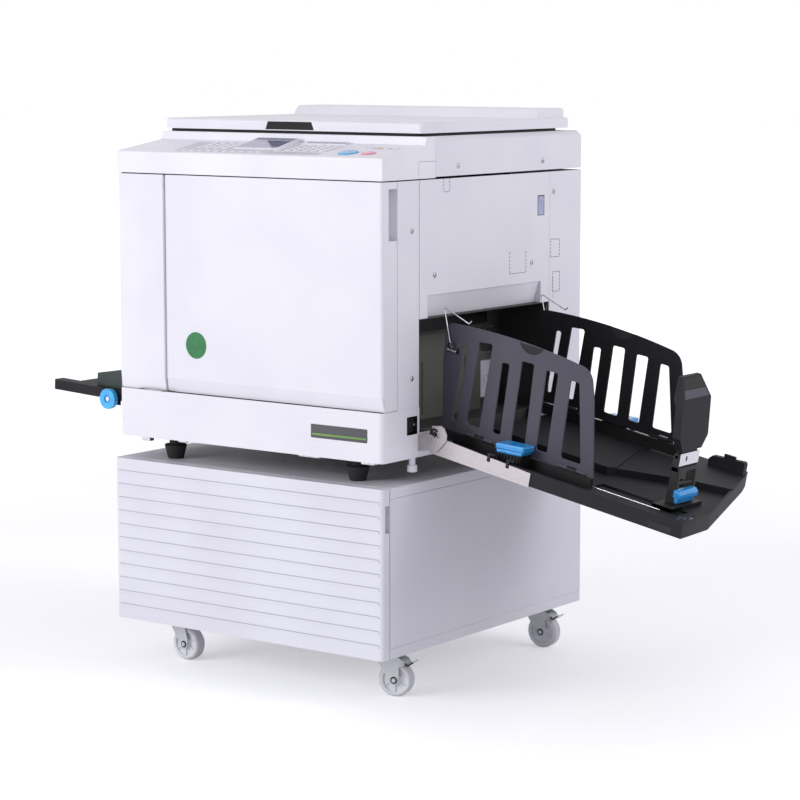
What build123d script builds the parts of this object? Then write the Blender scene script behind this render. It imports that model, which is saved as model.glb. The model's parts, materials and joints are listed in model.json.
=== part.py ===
"""Digital duplicator on its wheeled cabinet, in millimetres.

X runs right, Y back and Z up. The origin is on the floor, under the middle of the machine's width.
"""
from build123d import *
from math import atan2, cos, radians, sin
import os

# cabinet
cabinet_width = 644.0
cabinet_depth = 656.5
cabinet_back_y = 321.5
cabinet_top_z = 402.0
caster_height = 90.0
board = 20.0
side_board = 18.0
back_board = 12.0
door_thickness = 21.5
door_gap = 2.0
door_bands = 12
ridge_height = 4.0
ridge_rise = 2.0
door_edge_radius = 8.0
grip_low_z = 322.0
grip_high_z = 371.0
grip_width = 12.0
grip_depth = 12.0

# hinge leaves with their pins
leaf_thickness = 2.0
leaf_gap = 0.4
door_leaf_width = 8.0
cover_leaf_width = 6.0
leaf_skin = 2.0
pin_radius = 2.5
pin_length = 8.0
running_gap = 0.05

# casters
caster_side_inset = 72.7
caster_front_inset = 104.0
caster_rear_inset = 54.9
caster_trail = 24.0
caster_plate = 62.0
caster_plate_thickness = 3.0
kingpin_radius = 5.0
kingpin_length = 12.0
wheel_radius = 32.0
wheel_width = 24.0
wheel_edge = 5.0
hub_radius = 11.0
hub_rise = 0.8
axle_radius = 4.0
axle_head_radius = 7.0
axle_head = 2.5
cheek_thickness = 2.5
cheek_gap = 2.0
crown_thickness = 7.0
fork_back = 17.0
fork_front = 20.0
fork_tip = 12.0
fork_toe = 8.0
fork_rise = 8.0
fork_drop = 9.0
wheel_dish = 3.0
lever_pivot_x = 42.0
lever_pivot_z = 64.0
lever_length = 24.0
lever_thickness = 4.0
lever_pin_radius = 2.0
lever_cheek = 6.0
lever_nose = 5.0
lever_root = 14.0
lever_edge = 2.0
caster_turns = {"front_left": 0.0, "front_right": 16.0, "rear_right": 4.0, "rear_left": -8.0}
braked = ("front_right", "rear_right")

# machine covers
machine_width = 628.0
machine_front = -323.5
machine_back = 332.0
machine_bottom_z = 446.0
skirt_top_z = 537.0
cover_low_z = 538.0
cover_high_z = 945.5
body_top_z = 949.5
housing_top_z = 1022.0
wall = 3.0
seam = 1.5
pillar_return = 34.0
corner_radius = 10.0
side_panel_front = -212.0
side_panel_back = 214.0
outlet_low_z = 490.0
outlet_high_z = 696.0
recess_high_z = 737.0
recess_front = -187.0
recess_back = 184.0
recess_inset = 16.0
feed_opening_low_z = 470.0
feed_opening_high_z = 640.0
feed_opening_half = 205.0
groove_count = 6
groove_pitch = 13.0
groove_height = 1.6
groove_depth = 0.8
groove_low_z = 461.0
stud_inset = 9.0
stud_y = -222.0
stud_radius = 9.0
stud_neck = 6.0
stud_low_z = 419.5
stud_high_z = 432.0

# well under the outlet for the folded side guides
well_inset = 29.0
well_half = 182.0
well_low_z = 460.0

# rubber feet under the machine
foot_inset = 95.0
foot_y = 271.0
foot_top_radius = 21.5
foot_bottom_radius = 14.0
foot_taper = 26.0
foot_neck_radius = 12.0

# mains inlet
inlet_x = -190.0
inlet_low_z = 474.0
inlet_width = 52.0
inlet_height = 30.0
inlet_depth = 34.0
inlet_wall = 3.0
inlet_pin_pitch = 9.0
inlet_pin_width = 2.5
inlet_pin_height = 6.0

# front cover
cover_left = -195.0
cover_thickness = 43.5
cover_axis_inset = 8.0
cover_edge = 6.0
handle_low_z = 841.0
handle_high_z = 933.0
handle_height = 25.0
handle_depth = 22.0
lower_band = 26.0
lower_band_depth = 2.0

# screws on the right covers, each at a y and z
screw_radius = 4.2
screw_head = 1.8
screw_spots = ((-92, 967), (188, 967), (227, 907), (-235, 856), (-165, 773), (152, 775), (-235, 591))

# control panel
panel_back = -162.0
panel_low_z = 947.5
panel_front_z = 988.0
panel_step_y = -195.0
panel_step_z = 1007.0
panel_step_lean = 4.0
screen_centre_x = -18.0
screen_width = 100.0
screen_near = 55.0
screen_length = 70.0
screen_low = 1.5
screen_high = 8.0
small_screen_x = 99.0
small_screen_width = 98.0
small_screen_near = 112.0
small_screen_length = 14.0
small_screen_high = 3.0
key_size_x = 13.0
key_size_y = 8.0
key_rise = 1.2
key_corner = 2.0
key_pitch_x = 20.0
key_pitch_y = 15.0
left_keys = {"x": -118.0, "along": 73.0, "columns": 4, "rows": 4}
front_keys = {"x": -74.0, "along": 22.0, "columns": 10, "rows": 1}
right_keys = {"x": 102.0, "along": 73.0, "columns": 5, "rows": 4}
tiny_keys_x = 249.0
tiny_keys_along = 90.0
tiny_keys_pitch = 18.0
tiny_key_x = 10.0
tiny_key_y = 6.0
start_x = 209.0
start_along = 40.0
start_radius = 18.5
stop_x = 255.0
stop_along = 39.0
stop_radius = 13.0
round_key_height = 5.0
round_key_rise = 2.4
round_key_travel = 1.5
round_key_gap = 0.4
key_edge = 1.2

# power switch in the right end of the skirt
switch_front = -250.0
switch_back = -218.0
switch_low_z = 489.0
switch_high_z = 522.0
switch_depth = 16.0
rocker_width = 20.0
rocker_height = 26.0
rocker_thickness = 7.0
rocker_pin_radius = 2.0
rocker_edge = 5.0
rocker_lift = 2.0

# scanner
glass_left = -262.0
glass_right = 212.0
glass_front = -128.0
glass_back = 196.0
glass_thickness = 4.0
glass_ledge = 6.0
housing_wall = 4.0
rear_chamfer = 10.0
carriage_width = 34.0
carriage_half_length = 150.0
carriage_height = 22.0
carriage_home_x = -230.0
carriage_window_half = 5.0
carriage_window_inset = 12.0
carriage_window_depth = 6.0
rail_width = 8.0
rail_height = 6.0
glass_seat = 3.0
slide_gap = 0.3

# original cover
lid_left_inset = 2.0
lid_right_inset = 11.0
lid_front = -186.5
lid_back = 300.0
lid_gap = 5.5
lid_thickness = 19.5
lid_corner = 10.0
lid_edge = 5.0
hump_height = 18.0
hump_front = 196.0
hump_slope = 16.0
hump_end = 12.0
lid_axis_y = 290.0
lid_axis_height = 9.5
lid_hinge_x = 205.0
lid_tab_width = 14.0
lid_tab_radius = 6.0
pad_thickness = 5.0
pad_margin = 14.0
notch_x = -4.0
notch_half = 58.0
notch_top_half = 52.0
notch_low = 1.5
notch_high = 16.5
notch_depth = 14.0

# outlet chamber and the print unit inside
chamber_back_x = 200.0
chamber_wall = 2.0
chamber_half = 212.0
slot_half = 165.0
slot_low_z = 652.0
slot_high_z = 684.0
frame_y = 259.0
frame_thickness = 3.0
frame_left_inset = 34.0
frame_right = 190.0
drum_x = -20.0
drum_z = 772.0
drum_radius = 89.0
drum_half = 150.0
drum_wall = 2.5
drum_shaft_radius = 12.0
cartridge_rod_radius = 7.0
cartridge_radius = 42.0
cartridge_half = 120.0
roller_radius = 30.0
roller_half = 155.0
roller_shaft_radius = 8.0
paper_gap = 0.6
feed_roller_radius = 18.0
feed_roller_half = 60.0
feed_roller_inset = 76.0
feed_roller_z = 690.0
feed_shaft_radius = 5.0
shaft_past = 5.0

# feed tray on the left
elevator_plate_inset = 5.0
elevator_plate = 6.0
elevator_half = 190.0
elevator_low_z = 474.0
elevator_high_z = 545.0
elevator_arm = 12.0
rod_inset = 24.0
rod_y = 165.0
rod_radius = 5.0
rod_top_z = 646.0
boss_radius = 10.0
feed_pivot_out = 50.0
feed_pivot_z = 489.0
feed_tilt = 3.2
feed_pin_radius = 4.0
feed_length = 292.0
feed_cut = 244.0
feed_start = 14.0
feed_half = 150.0
feed_rail = 28.0
feed_top = 4.0
feed_rim = 20.0
feed_corner = 6.0
feed_dial_lug = 12.0
ear_width = 16.0
ear_radius = 9.0
fence_y = 130.0
fence_start = 36.0
fence_end = 188.0
fence_low_top = 29.0
fence_high_top = 42.0
fence_shoulder = 128.0
fence_thickness = 3.0
fence_foot_u = 92.0
fence_foot_length = 40.0
fence_foot_width = 24.0
fence_foot_thickness = 2.5
fence_travel = 75.0
neck_width = 8.0
dial_u = 129.0
dial_w = -13.5
dial_radius = 20.5
dial_thickness = 16.0
dial_hub_radius = 7.0
dial_shaft_radius = 3.5

# receiving tray on the right, in a frame at its pivot that runs out and down
tray_pivot_out = 33.0
tray_pivot_z = 490.0
tray_tilt = 11.0
tray_front = -212.0
tray_back = 212.0
tray_inner = 6.0
tray_reach = 528.0
tray_corner_y = -113.0
tray_corner_inset = 4.0
tray_far = 432.0
tray_far_y = 172.0
tray_back_end = 416.0
tray_bottom = -34.0
low_deck = -18.0
plateau = -5.0
inner_deck = -3.0
deck_skin = 3.0
rim_width = 5.0
rim_top = -7.0
pocket_margin = 6.0
plateau_edge = ((282, -34), (362, 21), (401, 45), (464, 71))
deck_step_u = 238.0
deck_step_y = 110.0
inner_deck_front = -50.0
inner_deck_end = 272.0
latch_start = 352.0
latch_end = 427.0
latch_front = 172.0
latch_thickness = 12.0
latch_low_top = 15.0
latch_high_top = 20.5
latch_bevel = 7.0
latch_key_start = 381.0
latch_key_end = 404.0
latch_key_thickness = 5.0
latch_key_rise = 3.5
channel_front = -144.0
channel_back = -106.0
channel_start = 300.0
channel_end = 478.0
channel_depth = 4.0
arm_thickness = 2.0
arm_heel = ((-1, -35), (-12, -14), (-10, 6), (6, 8))
arm_neck = 29.0
arm_end = 215.0
arm_top_start = -3.0
arm_top_end = -10.0
arm_bottom = -36.0
arm_pin_radius = 4.0
arm_slots = (124.0, 165.0)
arm_slot_width = 7.0
arm_slot_depth = 15.0
bracket_thickness = 2.0
bracket_gap = 0.6
flange_width = 26.0
flange_low_z = 457.0
flange_high_z = 487.0
hook_points = (
    (15, 492), (21, 491), (29, 492), (39, 489), (44, 484), (48, 485), (47, 492), (41, 497),
    (32, 498), (31, 506), (52, 507), (58, 503), (64, 491), (63, 481), (41, 458), (24, 461),
)

# side guides on the receiving tray
guide_y_front = -155.0
guide_y_rear = 152.0
guide_axis_front = 3.0
guide_axis_rear = 22.0
guide_thickness = 3.5
guide_bottom = -2.0
knuckle_radius = 4.0
knuckle_length = 20.0
guide_pin_radius = 2.0
knuckle_near = 60.0
knuckle_far = 262.0
rail_thickness = 8.0
rail_start = -14.0
rail_end = 306.0
grip_start = 121.0
grip_end = 181.0
grip_out = 160.0
grip_far = 195.0
grip_near_inset = 6.0
grip_end_inset = 5.0
grip_back_top = 18.0
grip_front_top = 25.0
grip_front_low = 6.0
guide_lead = ((-22, 0), (-43, 118), (-49, 179))
guide_shoulder = (-45, 188)
guide_crown = ((-35, 193), (80, 199), (247, 188.5))
guide_turn = (262, 182)
guide_tail = ((272, 168), (281, 138), (308, 0))
slot_rows = (
    ((-4, 4), (6, 4), (6, 162), (-6, 160)),
    ((27, 4), (57, 4), (56, 178), (26, 175)),
    ((86, 4), (103, 4), (98, 153), (81, 151)),
    ((127, 0), (158, 0), (149, 166), (122, 165)),
    ((182, 0), (206, 0), (201, 163), (175, 162)),
    ((235, 0), (278, 0), (247, 158), (228, 158)),
)
slot_corner = 4.5
slot_margin = 14.0
thumb_u = 138.0
thumb_w = 210.0
thumb_radius = 29.0
thumb_depth = 1.5
knuckle_clear = 3.0
wire_pivot_u = -27.0
wire_pivot_w = 156.0
wire_radius = 1.2
wire_ring_radius = 5.0
wire_pin_radius = 2.5
wire_stand = 4.6
wire_pin_length = 9.5
wire_pin_head = 1.5
wire_route = ((-58, 219), (2, 202), (6, 208))
wire_bends = (3, 2)

# end stopper on the receiving tray
stopper_y = -78.0
leg_inner = 431.0
leg_outer = 449.0
leg_half = 33.0
leg_post = 8.0
foot_near = 6.0
foot_past = 16.0
foot_block = 8.0
foot_side = 38.0
bridge_low = 46.0
bridge_high = 54.0
stop_grip_near = -119.0
stop_grip_far = -55.0
stop_grip_out = 14.0
stop_grip_low = -7.0
stop_grip_high = 16.0
stop_tooth_out = 9.0
stop_tooth_inset = 6.0
hood_axis_u = 438.0
hood_axis_w = 72.0
hood_start = 84.0
hood_rows = (
    (hood_start, 434, 447, 33), (107, 431, 447, 48), (160, 426, 441, 48), (174, 419.5, 439.5, 47.5),
    (211, 412, 420, 32),
)
hood_stem = 6.0
ear_top_radius = 7.0
hood_pin_radius = 3.0

lid_low_z = housing_top_z + lid_gap
lid_high_z = lid_low_z + lid_thickness
hump_top_z = lid_high_z + hump_height
lid_axis_z = lid_low_z + lid_axis_height
roller_z = drum_z - drum_radius - paper_gap - roller_radius
half_width = machine_width / 2
half_cabinet = cabinet_width / 2
cabinet_front = cabinet_back_y - cabinet_depth
door_back = cabinet_front + door_thickness
carcass_front = door_back + door_gap
caster_x = half_cabinet - caster_side_inset
caster_front_y = cabinet_front + caster_front_inset
caster_rear_y = cabinet_back_y - caster_rear_inset
stud_x = half_width - stud_inset
well_left = half_width - well_inset
foot_x = half_width - foot_inset
frame_left = -half_width + frame_left_inset
feed_roller_x = -half_width + feed_roller_inset
elevator_plate_x = -half_width + elevator_plate_inset
rod_x = -half_width + rod_inset
feed_pivot_x = -half_width - feed_pivot_out
tray_pivot_x = half_width + tray_pivot_out
lid_left = -half_width + lid_left_inset
lid_right = half_width - lid_right_inset
panel_slope = atan2(panel_step_z - panel_front_z, panel_step_y - machine_front)
tray_frame = Plane(
    origin=(tray_pivot_x, 0, tray_pivot_z),
    x_dir=(cos(radians(tray_tilt)), 0, -sin(radians(tray_tilt))),
    z_dir=(sin(radians(tray_tilt)), 0, cos(radians(tray_tilt))),
)
feed_frame = Plane(
    origin=(feed_pivot_x, 0, feed_pivot_z),
    x_dir=(-cos(radians(feed_tilt)), 0, sin(radians(feed_tilt))),
    z_dir=(sin(radians(feed_tilt)), 0, cos(radians(feed_tilt))),
)
panel_frame = Plane(
    origin=(0, machine_front, panel_front_z),
    x_dir=(1, 0, 0),
    z_dir=(0, -sin(panel_slope), cos(panel_slope)),
)
corner_at_min = (Align.MIN, Align.MIN, Align.MIN)


def side_plane(frame, y):
    """Plane across a frame at its local y: sketch x and y are the frame's x and z."""
    return Plane(frame.from_local_coords((0, y, 0)), x_dir=frame.x_dir, z_dir=-frame.y_dir)


def end_plane(frame, x):
    """Plane across a frame at its local x: sketch x and y are the frame's y and z."""
    return Plane(frame.from_local_coords((x, 0, 0)), x_dir=frame.y_dir, z_dir=frame.x_dir)


def save(piece, name):
    piece.part.label = name
    export_step(piece.part, f"parts/{name}.step")


def span_box(low, high, mode=Mode.ADD):
    """Box between two corners of the block's own frame."""
    with Locations(low):
        Box(*[b - a for a, b in zip(low, high)], align=corner_at_min, mode=mode)


def across(start, end, radius, mode=Mode.ADD):
    """Round bar along the frame's y between two points that share x and z."""
    middle = ((start[0] + end[0]) / 2, (start[1] + end[1]) / 2, (start[2] + end[2]) / 2)
    with Locations(middle):
        Cylinder(radius, abs(end[1] - start[1]), rotation=(90, 0, 0), mode=mode)


# cabinet

def cabinet_boards():
    for name, low_z in (("cabinet_top", cabinet_top_z - board), ("cabinet_base", caster_height)):
        with BuildPart() as slab:
            span_box((-half_cabinet, carcass_front, low_z), (half_cabinet, cabinet_back_y, low_z + board))
            chamfer(slab.edges().filter_by(Axis.Y), 1.0)
        save(slab, name)
    low = caster_height + board
    high = cabinet_top_z - board
    with BuildPart() as panels:
        for left in (-half_cabinet, half_cabinet - side_board):
            span_box((left, carcass_front, low), (left + side_board, cabinet_back_y, high))
        inside = half_cabinet - side_board
        with Locations((0, cabinet_back_y - back_board / 2, (low + high) / 2)):
            Box(2 * inside, back_board, high - low)
    save(panels, "cabinet_panels")


def cabinet_door():
    axis_x = -half_cabinet + door_thickness / 2
    axis_y = cabinet_front + door_thickness / 2
    pitch = (cabinet_top_z - caster_height) / door_bands
    with BuildPart() as door:
        with BuildSketch(Plane.XY.offset(caster_height)):
            with BuildLine():
                Polyline(
                    (axis_x, door_back),
                    (half_cabinet, door_back),
                    (half_cabinet, cabinet_front + ridge_rise + door_edge_radius),
                )
                RadiusArc(
                    (half_cabinet, cabinet_front + ridge_rise + door_edge_radius),
                    (half_cabinet - door_edge_radius, cabinet_front + ridge_rise),
                    door_edge_radius,
                )
                Line((half_cabinet - door_edge_radius, cabinet_front + ridge_rise),
                     (axis_x, cabinet_front + ridge_rise))
                ThreePointArc(
                    (axis_x, cabinet_front + ridge_rise),
                    (axis_x - (door_thickness - ridge_rise) / 2, door_back - (door_thickness - ridge_rise) / 2),
                    (axis_x, door_back),
                )
            make_face()
        extrude(amount=cabinet_top_z - caster_height)
        for band in range(1, door_bands):
            low = caster_height + band * pitch - ridge_height / 2
            span_box((axis_x, cabinet_front, low),
                     (half_cabinet - door_edge_radius, cabinet_front + 2 * ridge_rise, low + ridge_height))
        span_box((half_cabinet - grip_width, door_back - grip_depth, grip_low_z),
                 (half_cabinet, door_back, grip_high_z), Mode.SUBTRACT)
        for leaf_z in door_leaf_heights():
            span_box((-half_cabinet, cabinet_front + ridge_rise + leaf_skin, leaf_z - leaf_gap),
                     (axis_x + door_thickness, door_back, leaf_z + leaf_thickness + leaf_gap), Mode.SUBTRACT)
            with Locations((axis_x, axis_y, leaf_z + leaf_thickness / 2)):
                Cylinder(pin_radius + running_gap, 2 * pin_length + leaf_thickness + 2 * leaf_gap,
                         mode=Mode.SUBTRACT)
    save(door, "cabinet_door")


def door_leaf_heights():
    return (caster_height + board, cabinet_top_z - board - leaf_thickness)


def cover_leaf_heights():
    return (cover_low_z + board, cover_high_z - board - leaf_thickness)


def hinge_leaves():
    door_x = -half_cabinet + door_thickness / 2
    door_y = cabinet_front + door_thickness / 2
    cover_x = cover_left + cover_axis_inset
    cover_y = machine_front + cover_axis_inset
    with BuildPart() as leaves:
        for heights, x, y, back, width in (
            (door_leaf_heights(), door_x, door_y, carcass_front, door_leaf_width),
            (cover_leaf_heights(), cover_x, cover_y, -frame_y - frame_thickness, cover_leaf_width),
        ):
            for z in heights:
                span_box((x - width / 2, y, z), (x + width / 2, back, z + leaf_thickness))
                with Locations((x, y, z + leaf_thickness / 2)):
                    Cylinder(width / 2, leaf_thickness)
                    Cylinder(pin_radius, 2 * pin_length + leaf_thickness)
        for side in (-1, 1):
            x = side * lid_hinge_x
            with BuildSketch(Plane.YZ.offset(x - lid_tab_width / 2)):
                with Locations((lid_axis_y, lid_axis_z)):
                    Circle(lid_tab_radius)
                with Locations((lid_axis_y, (housing_top_z + lid_axis_z) / 2)):
                    Rectangle(2 * lid_tab_radius, lid_axis_z - housing_top_z)
            extrude(amount=lid_tab_width)
            with Locations((x, lid_axis_y, lid_axis_z)):
                Cylinder(pin_radius, lid_tab_width + 2 * pin_length, rotation=(0, 90, 0))
    save(leaves, "hinge_leaves")


# casters

def caster_spots():
    return {
        "front_left": (-caster_x, caster_front_y),
        "front_right": (caster_x, caster_front_y),
        "rear_right": (caster_x, caster_rear_y),
        "rear_left": (-caster_x, caster_rear_y),
    }


def caster_plates():
    with BuildPart() as plates:
        for x, y in caster_spots().values():
            with Locations((x, y, caster_height - caster_plate_thickness / 2)):
                Box(caster_plate, caster_plate, caster_plate_thickness)
            with Locations((x, y, caster_height - caster_plate_thickness - kingpin_length / 2)):
                Cylinder(kingpin_radius, kingpin_length)
    save(plates, "caster_plates")


def caster(name, spot, turn):
    frame = Plane(origin=(*spot, 0), x_dir=(cos(radians(turn)), sin(radians(turn)), 0), z_dir=(0, 0, 1))
    crown_top = caster_height - caster_plate_thickness - slide_gap
    cheek_in = wheel_width / 2 + cheek_gap
    cheek_out = cheek_in + cheek_thickness
    has_brake = name in braked
    with BuildPart(frame) as fork:
        for low in (-cheek_out, cheek_in):
            with BuildSketch(side_plane(frame, low + cheek_thickness)):
                with BuildLine():
                    Polyline(
                        (-fork_back, crown_top),
                        (fork_front, crown_top),
                        (caster_trail + fork_tip, wheel_radius + fork_rise),
                        (caster_trail + fork_toe, wheel_radius - fork_drop),
                        (caster_trail - fork_toe, wheel_radius - fork_drop),
                        (-fork_back, crown_top - crown_thickness),
                        close=True,
                    )
                make_face()
                if has_brake:
                    with BuildLine():
                        Polyline(
                            (lever_root, crown_top),
                            (lever_pivot_x, lever_pivot_z + lever_cheek),
                            (lever_pivot_x + lever_nose, lever_pivot_z),
                            (lever_pivot_x, lever_pivot_z - lever_cheek),
                            (caster_trail + fork_toe, wheel_radius + lever_cheek),
                            close=True,
                        )
                    make_face()
            extrude(amount=cheek_thickness)
        span_box((-fork_back, -cheek_out, crown_top - crown_thickness), (fork_front, cheek_out, crown_top))
        with Locations((0, 0, crown_top - crown_thickness / 2)):
            Cylinder(kingpin_radius + running_gap, crown_thickness, mode=Mode.SUBTRACT)
        end = cheek_out + axle_head
        across((caster_trail, -end, wheel_radius), (caster_trail, end, wheel_radius), axle_radius)
        for side in (-1, 1):
            across((caster_trail, side * cheek_out, wheel_radius), (caster_trail, side * end, wheel_radius),
                   axle_head_radius)
        if has_brake:
            across((lever_pivot_x, -cheek_out, lever_pivot_z), (lever_pivot_x, cheek_out, lever_pivot_z),
                   lever_pin_radius)
    save(fork, f"caster_fork_{name}")

    with BuildPart(frame) as wheel:
        with BuildSketch(side_plane(frame, wheel_width / 2)):
            with Locations((caster_trail, wheel_radius)):
                Circle(wheel_radius)
                Circle(axle_radius + running_gap, mode=Mode.SUBTRACT)
        extrude(amount=wheel_width)
        fillet(wheel.edges().filter_by(GeomType.CIRCLE).sort_by(SortBy.RADIUS)[-2:], wheel_edge)
        for side in (-1, 1):
            face = side * wheel_width / 2
            across((caster_trail, face - side * wheel_dish, wheel_radius), (caster_trail, face, wheel_radius),
                   wheel_radius - 3 * wheel_edge / 2, Mode.SUBTRACT)
            across((caster_trail, face - side * wheel_dish, wheel_radius),
                   (caster_trail, face + side * hub_rise, wheel_radius), hub_radius)
        reach = wheel_width / 2 + hub_rise
        across((caster_trail, -reach, wheel_radius), (caster_trail, reach, wheel_radius),
               axle_radius + running_gap, Mode.SUBTRACT)
    save(wheel, f"caster_wheel_{name}")

    if has_brake:
        half = cheek_in - slide_gap
        with BuildPart(frame) as lever:
            across((lever_pivot_x, -half, lever_pivot_z), (lever_pivot_x, half, lever_pivot_z), lever_thickness)
            with BuildSketch(side_plane(frame, half)):
                with BuildLine():
                    Polyline(
                        (lever_pivot_x, lever_pivot_z - lever_edge),
                        (lever_pivot_x + lever_length, lever_pivot_z - lever_cheek),
                        (lever_pivot_x + lever_length, lever_pivot_z - lever_edge),
                        (lever_pivot_x, lever_pivot_z + lever_thickness),
                        close=True,
                    )
                make_face()
            extrude(amount=2 * half)
            across((lever_pivot_x, -half, lever_pivot_z), (lever_pivot_x, half, lever_pivot_z),
                   lever_pin_radius + running_gap, Mode.SUBTRACT)
        save(lever, f"brake_lever_{name}")


# machine base and covers

def rubber_feet():
    with BuildPart() as feet:
        for x in (-foot_x, foot_x):
            for y in (-foot_y, foot_y):
                with Locations((x, y, cabinet_top_z + foot_taper / 2)):
                    Cone(foot_bottom_radius, foot_top_radius, foot_taper)
                with Locations((x, y, (cabinet_top_z + foot_taper + machine_bottom_z) / 2)):
                    Cylinder(foot_neck_radius, machine_bottom_z - cabinet_top_z - foot_taper)
    save(feet, "rubber_feet")


def base_skirt():
    with BuildPart() as skirt:
        span_box((-half_width, machine_front, machine_bottom_z), (half_width, machine_back, skirt_top_z))
        fillet(skirt.edges().filter_by(Axis.Z), corner_radius)
        span_box((-half_width + wall, machine_front + wall, machine_bottom_z + wall),
                 (half_width - wall, machine_back - wall, skirt_top_z), Mode.SUBTRACT)
        for row in range(groove_count):
            low = groove_low_z + row * groove_pitch
            span_box((-half_width + corner_radius, machine_front, low),
                     (half_width - corner_radius, machine_front + groove_depth, low + groove_height),
                     Mode.SUBTRACT)
        span_box((half_width - wall, side_panel_front, outlet_low_z),
                 (half_width, side_panel_back, skirt_top_z), Mode.SUBTRACT)
        span_box((-half_width, -feed_opening_half, feed_opening_low_z),
                 (-half_width + wall, feed_opening_half, skirt_top_z), Mode.SUBTRACT)
        span_box((half_width - switch_depth - wall, switch_front - wall, switch_low_z - wall),
                 (half_width, switch_back + wall, switch_high_z + wall))
        span_box((half_width - switch_depth, switch_front, switch_low_z),
                 (half_width, switch_back, switch_high_z), Mode.SUBTRACT)
        with Locations((half_width - switch_depth / 2, (switch_front + switch_back) / 2,
                        (switch_low_z + switch_high_z) / 2)):
            Cylinder(rocker_pin_radius, switch_back - switch_front, rotation=(90, 0, 0))
        span_box((inlet_x - inlet_width / 2, machine_back - wall, inlet_low_z),
                 (inlet_x + inlet_width / 2, machine_back, inlet_low_z + inlet_height), Mode.SUBTRACT)
        span_box((half_width - wall, -well_half + chamber_wall, well_low_z + chamber_wall),
                 (half_width, well_half - chamber_wall, outlet_low_z), Mode.SUBTRACT)
        for radius, low_z, high_z in (
            (stud_radius, stud_low_z, stud_high_z),
            (stud_neck, stud_high_z, machine_bottom_z + wall),
        ):
            with Locations((stud_x, stud_y, (low_z + high_z) / 2)):
                Cylinder(radius, high_z - low_z)
    save(skirt, "base_skirt")


def mains_inlet():
    with BuildPart() as inlet:
        span_box((inlet_x - inlet_width / 2, machine_back - inlet_depth, inlet_low_z),
                 (inlet_x + inlet_width / 2, machine_back, inlet_low_z + inlet_height))
        span_box((inlet_x - inlet_width / 2 + inlet_wall, machine_back - inlet_depth + inlet_wall,
                  inlet_low_z + inlet_wall),
                 (inlet_x + inlet_width / 2 - inlet_wall, machine_back,
                  inlet_low_z + inlet_height - inlet_wall), Mode.SUBTRACT)
        for x in (-inlet_pin_pitch, 0, inlet_pin_pitch):
            with Locations((inlet_x + x, machine_back - inlet_depth / 2, inlet_low_z + inlet_height / 2)):
                Box(inlet_pin_width, inlet_depth - 2 * inlet_wall, inlet_pin_height)
    save(inlet, "mains_inlet")


def power_switch():
    x = half_width - switch_depth / 2
    y = (switch_front + switch_back) / 2
    z = (switch_low_z + switch_high_z) / 2
    with BuildPart() as rocker:
        with BuildSketch(Plane.XZ.offset(-y - rocker_width / 2)):
            with BuildLine():
                Polyline(
                    (x - rocker_thickness / 2, z - rocker_edge),
                    (x + rocker_thickness / 2 - rocker_lift / 2, z - rocker_height / 2),
                    (x + rocker_thickness / 2, z),
                    (x + rocker_thickness / 2 + rocker_lift, z + rocker_height / 2),
                    (x - rocker_thickness / 2, z + rocker_edge),
                    close=True,
                )
            make_face()
        extrude(amount=rocker_width)
        with Locations((x, y, z)):
            Cylinder(rocker_pin_radius + running_gap, rocker_width, rotation=(90, 0, 0), mode=Mode.SUBTRACT)
    save(rocker, "power_switch")


def front_left_pillar():
    right = cover_left - 2 * seam
    with BuildPart() as pillar:
        span_box((-half_width, machine_front, skirt_top_z), (right, side_panel_front - seam, cover_high_z))
        fillet(pillar.edges().filter_by(Axis.Z).group_by(Axis.Y)[0].sort_by(Axis.X)[0], corner_radius)
        fillet(pillar.edges().filter_by(Axis.Z).group_by(Axis.Y)[0].sort_by(Axis.X)[-1], wall)
        span_box((-half_width + wall, machine_front + wall, skirt_top_z),
                 (right - wall, side_panel_front, cover_high_z), Mode.SUBTRACT)
        span_box((right - wall, machine_front + cover_thickness, skirt_top_z),
                 (right, side_panel_front, cover_high_z), Mode.SUBTRACT)
    save(pillar, "front_left_pillar")


def front_right_pillar():
    front = machine_front + cover_thickness + seam
    with BuildPart() as pillar:
        span_box((half_width - pillar_return, front, skirt_top_z),
                 (half_width, side_panel_front - seam, cover_high_z))
        span_box((half_width - pillar_return, front + wall, skirt_top_z),
                 (half_width - wall, side_panel_front, cover_high_z), Mode.SUBTRACT)
    save(pillar, "front_right_pillar")


def side_panels():
    with BuildPart() as right:
        span_box((half_width - wall, side_panel_front, outlet_high_z),
                 (half_width, side_panel_back - slide_gap, cover_high_z))
        span_box((half_width - recess_inset - wall, recess_front - wall, outlet_high_z),
                 (half_width, recess_back + wall, recess_high_z + wall))
        with BuildSketch(Plane.XZ.offset(-recess_back)):
            with BuildLine():
                Polyline(
                    (half_width, recess_high_z),
                    (half_width - wall, recess_high_z),
                    (half_width - recess_inset, outlet_high_z),
                    (half_width, outlet_high_z),
                    close=True,
                )
            make_face()
        extrude(amount=recess_back - recess_front, mode=Mode.SUBTRACT)
    save(right, "right_side_panel")
    with BuildPart() as left:
        span_box((-half_width, side_panel_front, feed_opening_high_z),
                 (-half_width + wall, side_panel_back - slide_gap, cover_high_z))
        span_box((-half_width, side_panel_front, skirt_top_z),
                 (-half_width + wall, -feed_opening_half, cover_high_z))
        span_box((-half_width, feed_opening_half, skirt_top_z),
                 (-half_width + wall, side_panel_back - slide_gap, cover_high_z))
    save(left, "left_side_panel")


def rear_cover():
    with BuildPart() as rear:
        span_box((-half_width, side_panel_back, skirt_top_z), (half_width, machine_back, cover_high_z))
        fillet(rear.edges().filter_by(Axis.Z).group_by(Axis.Y)[-1], corner_radius)
        span_box((-half_width + wall, side_panel_back, skirt_top_z),
                 (half_width - wall, machine_back - wall, cover_high_z), Mode.SUBTRACT)
    save(rear, "rear_cover")


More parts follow.
